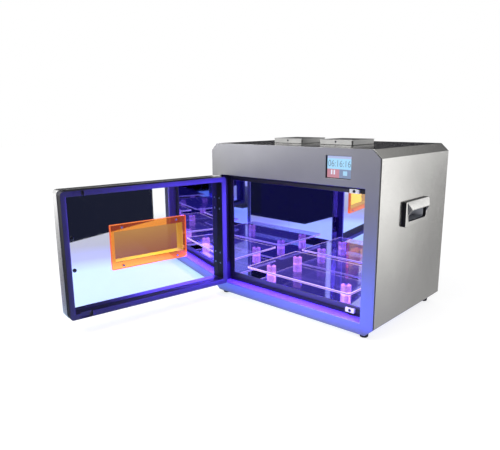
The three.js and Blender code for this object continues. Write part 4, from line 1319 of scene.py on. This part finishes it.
def side_tones(nodes, links, *places):
    """far is how far away the look met the card, and along is where on the side it came from."""
    x, y = places[:2]
    far = math_node(nodes, links, "DIVIDE", math_node(nodes, links, "SUBTRACT", x, shell_side), SIDE_SLANT)
    share = math_node(nodes, links, "DIVIDE", far, SIDE_REACH)
    shift = math_node(nodes, links, "SUBTRACT", y, math_node(nodes, links, "MULTIPLY", far, SIDE_AWAY))
    along = math_node(nodes, links, "DIVIDE", shift, math_node(nodes, links, "ADD", far, 1.0))
    fade = nodes.new("ShaderNodeMix")
    fade.data_type = "RGBA"
    links.new(map_range(nodes, links, along, *SIDE_FADE), fade.inputs["Factor"])
    links.new(colour_ramp(nodes, links, share, SIDE_FRONT_TONES), fade.inputs["A"])
    links.new(colour_ramp(nodes, links, share, SIDE_BACK_TONES), fade.inputs["B"])
    return fade.outputs["Result"]


def tones_along(axis, start, end, stops):
    """A paint that runs through tones along one axis, from start to end."""
    def paint(nodes, links, *places):
        return colour_ramp(nodes, links, map_range(nodes, links, places[axis], start, end), stops)
    return paint


side_card = card_material("side_card", paint=side_tones, strength=1.2)
lying_card("side_floor", (0.236, 12.0), (-0.20, 26.0), side_card)
# The door's free edge darkens towards the cabinet, because it reflects the floor before the door.
edge_card = card_material("door_edge_card", paint=tones_along(0, -0.30, -1.5, [
    (0.0, (0.05, 0.05, 0.06)), (0.3, (0.18, 0.18, 0.20)), (1.0, (0.55, 0.55, 0.56)),
]))
lying_card("door_edge_floor", (-1.8, -0.27), (-1.2, -0.575), edge_card)
# The roof's chamfer shows a board behind the object that grows lighter with its height.
chamfer_card = card_material("chamfer_card", paint=tones_along(2, 0.65, 1.25, [
    (0.0, (0.05, 0.05, 0.055)), (1.0, (0.38, 0.38, 0.37)),
]))
standing_card("chamfer_flag", (0.10, 1.2), (3.0, 1.2), (0.60, 9.0), chamfer_card)
# Behind the door a board, violet low down, is what the window's plate is seen against.
behind_card = card_material("behind_card", paint=tones_along(2, 0.0, 0.11, [
    (0.0, (0.16, 0.10, 0.9)), (0.45, (0.22, 0.18, 0.9)), (1.0, (0.32, 0.30, 0.6)),
]))
standing_card("behind_door", (-0.6, -0.40), (-0.6, 0.25), (CARD_LEVEL, 0.4), behind_card, FOR_WINDOW)
print("gradient cards ready")

# %% [markdown]
# ## Lamps
#
# One large soft key lamp lights everything from the upper left, and a wash lifts the front's upper
# corner. The violet light comes from the panels. What spills out of the doorway would take many
# bounces to trace, so a few lamps stand in for it, each linked to the pieces that the spilled light
# falls on. Three small white ones are linked to the handles' pockets, the catches and the window's
# lining, which would be lost in the dark. Each row gives a lamp's place, what it aims at, its size,
# power and colour, and its pieces.

# %% Lamps
WHITE_LIGHT = (1, 1, 1)
WARM = (1, 1, 0.98)
VIOLET = (0.17, 0.09, 1.0)
MOUTH_VIOLET = (0.10, 0.05, 1.0)
DEEP_VIOLET = (0.06, 0.01, 1.0)
BLUE = (0.02, 0.05, 1.0)
KEY_SHINE = 0.25
PANEL_DROP = 0.002
PANEL_SIZE = (0.11, 0.12)
PANEL_POWER = 2.6


def area_lamp(name, place, target, size, power, colour, receivers=()):
    data = bpy.data.lights.new(name, "AREA")
    data.shape = "RECTANGLE"
    data.size, data.size_y = size
    data.energy = power
    data.color = colour
    lamp = bpy.data.objects.new(name, data)
    aim = Vector(target) - Vector(place)
    lamp.matrix_world = Matrix.Translation(place) @ aim.to_track_quat("-Z", "Y").to_matrix().to_4x4()
    scene.collection.objects.link(lamp)
    if receivers:
        group = bpy.data.collections.new(f"{name}_receivers")
        for piece in receivers:
            group.objects.link(bpy.data.objects[piece])
        lamp.light_linking.receiver_collection = group


for lamp in (
    ("key", (-0.6, -1.6, 1.9), (0, 0, 0.1), (1.6, 1.2), 26, WHITE_LIGHT),
    ("front_wash", (-0.46, -0.42, 0.62), (-0.22, -0.16, 0.34), (0.3, 0.25), 9.0, WARM, ["front_plate"]),
    ("pocket_light", (0.60, -0.30, 0.12), (0.24, 0.0, 0.235), (0.2, 0.2), 2.0, WHITE_LIGHT,
     ["pocket_right", "pocket_left"]),
    ("blue_floor", (-0.02, -0.34, -0.004), (-0.02, -0.32, 1), (0.60, 0.30), 2.9, BLUE, ["front_plate"]),
    ("violet_floor", (0.02, -0.30, -0.004), (0.02, -0.28, 1), (0.46, 0.22), 1.6, VIOLET,
     ["door_stop", "door_seal_strip"]),
    ("violet_sill", (0.0, -0.144, 0.075), (0.0, -0.144, 0), (0.38, 0.024), 4.0, DEEP_VIOLET,
     ["door_recess"]),
    ("violet_mouth", (0.05, -0.17, 0.16), (-0.5, -0.6, 0.14), (0.30, 0.22), 7.0, MOUTH_VIOLET,
     ["door_frame", "strike_upper", "strike_lower"]),
    ("catch_light", (0.30, -0.60, 0.25), (0.16, -0.14, 0.16), (0.3, 0.3), 1.5, WHITE_LIGHT,
     ["catch_upper", "catch_lower"]),
    ("window_light", (-0.60, -0.05, 0.45), (-0.23, -0.36, 0.16), (0.3, 0.3), 3.0, WHITE_LIGHT,
     ["window_lining"]),
):
    area_lamp(*lamp)
bpy.data.lights["key"].specular_factor = KEY_SHINE
for side in SIDES:
    low, _, middle = box_of(f"led_panel_{side}")
    under = (middle.x, middle.y, low.z - PANEL_DROP)
    area_lamp(f"violet_{side}", under, (middle.x, middle.y, 0), PANEL_SIZE, PANEL_POWER, VIOLET)
print(len(bpy.data.lights), "lamps ready")

# %% [markdown]
# ## The end
#
# Finishing must not make the object bigger or smaller.

# %% The end
print("finished")
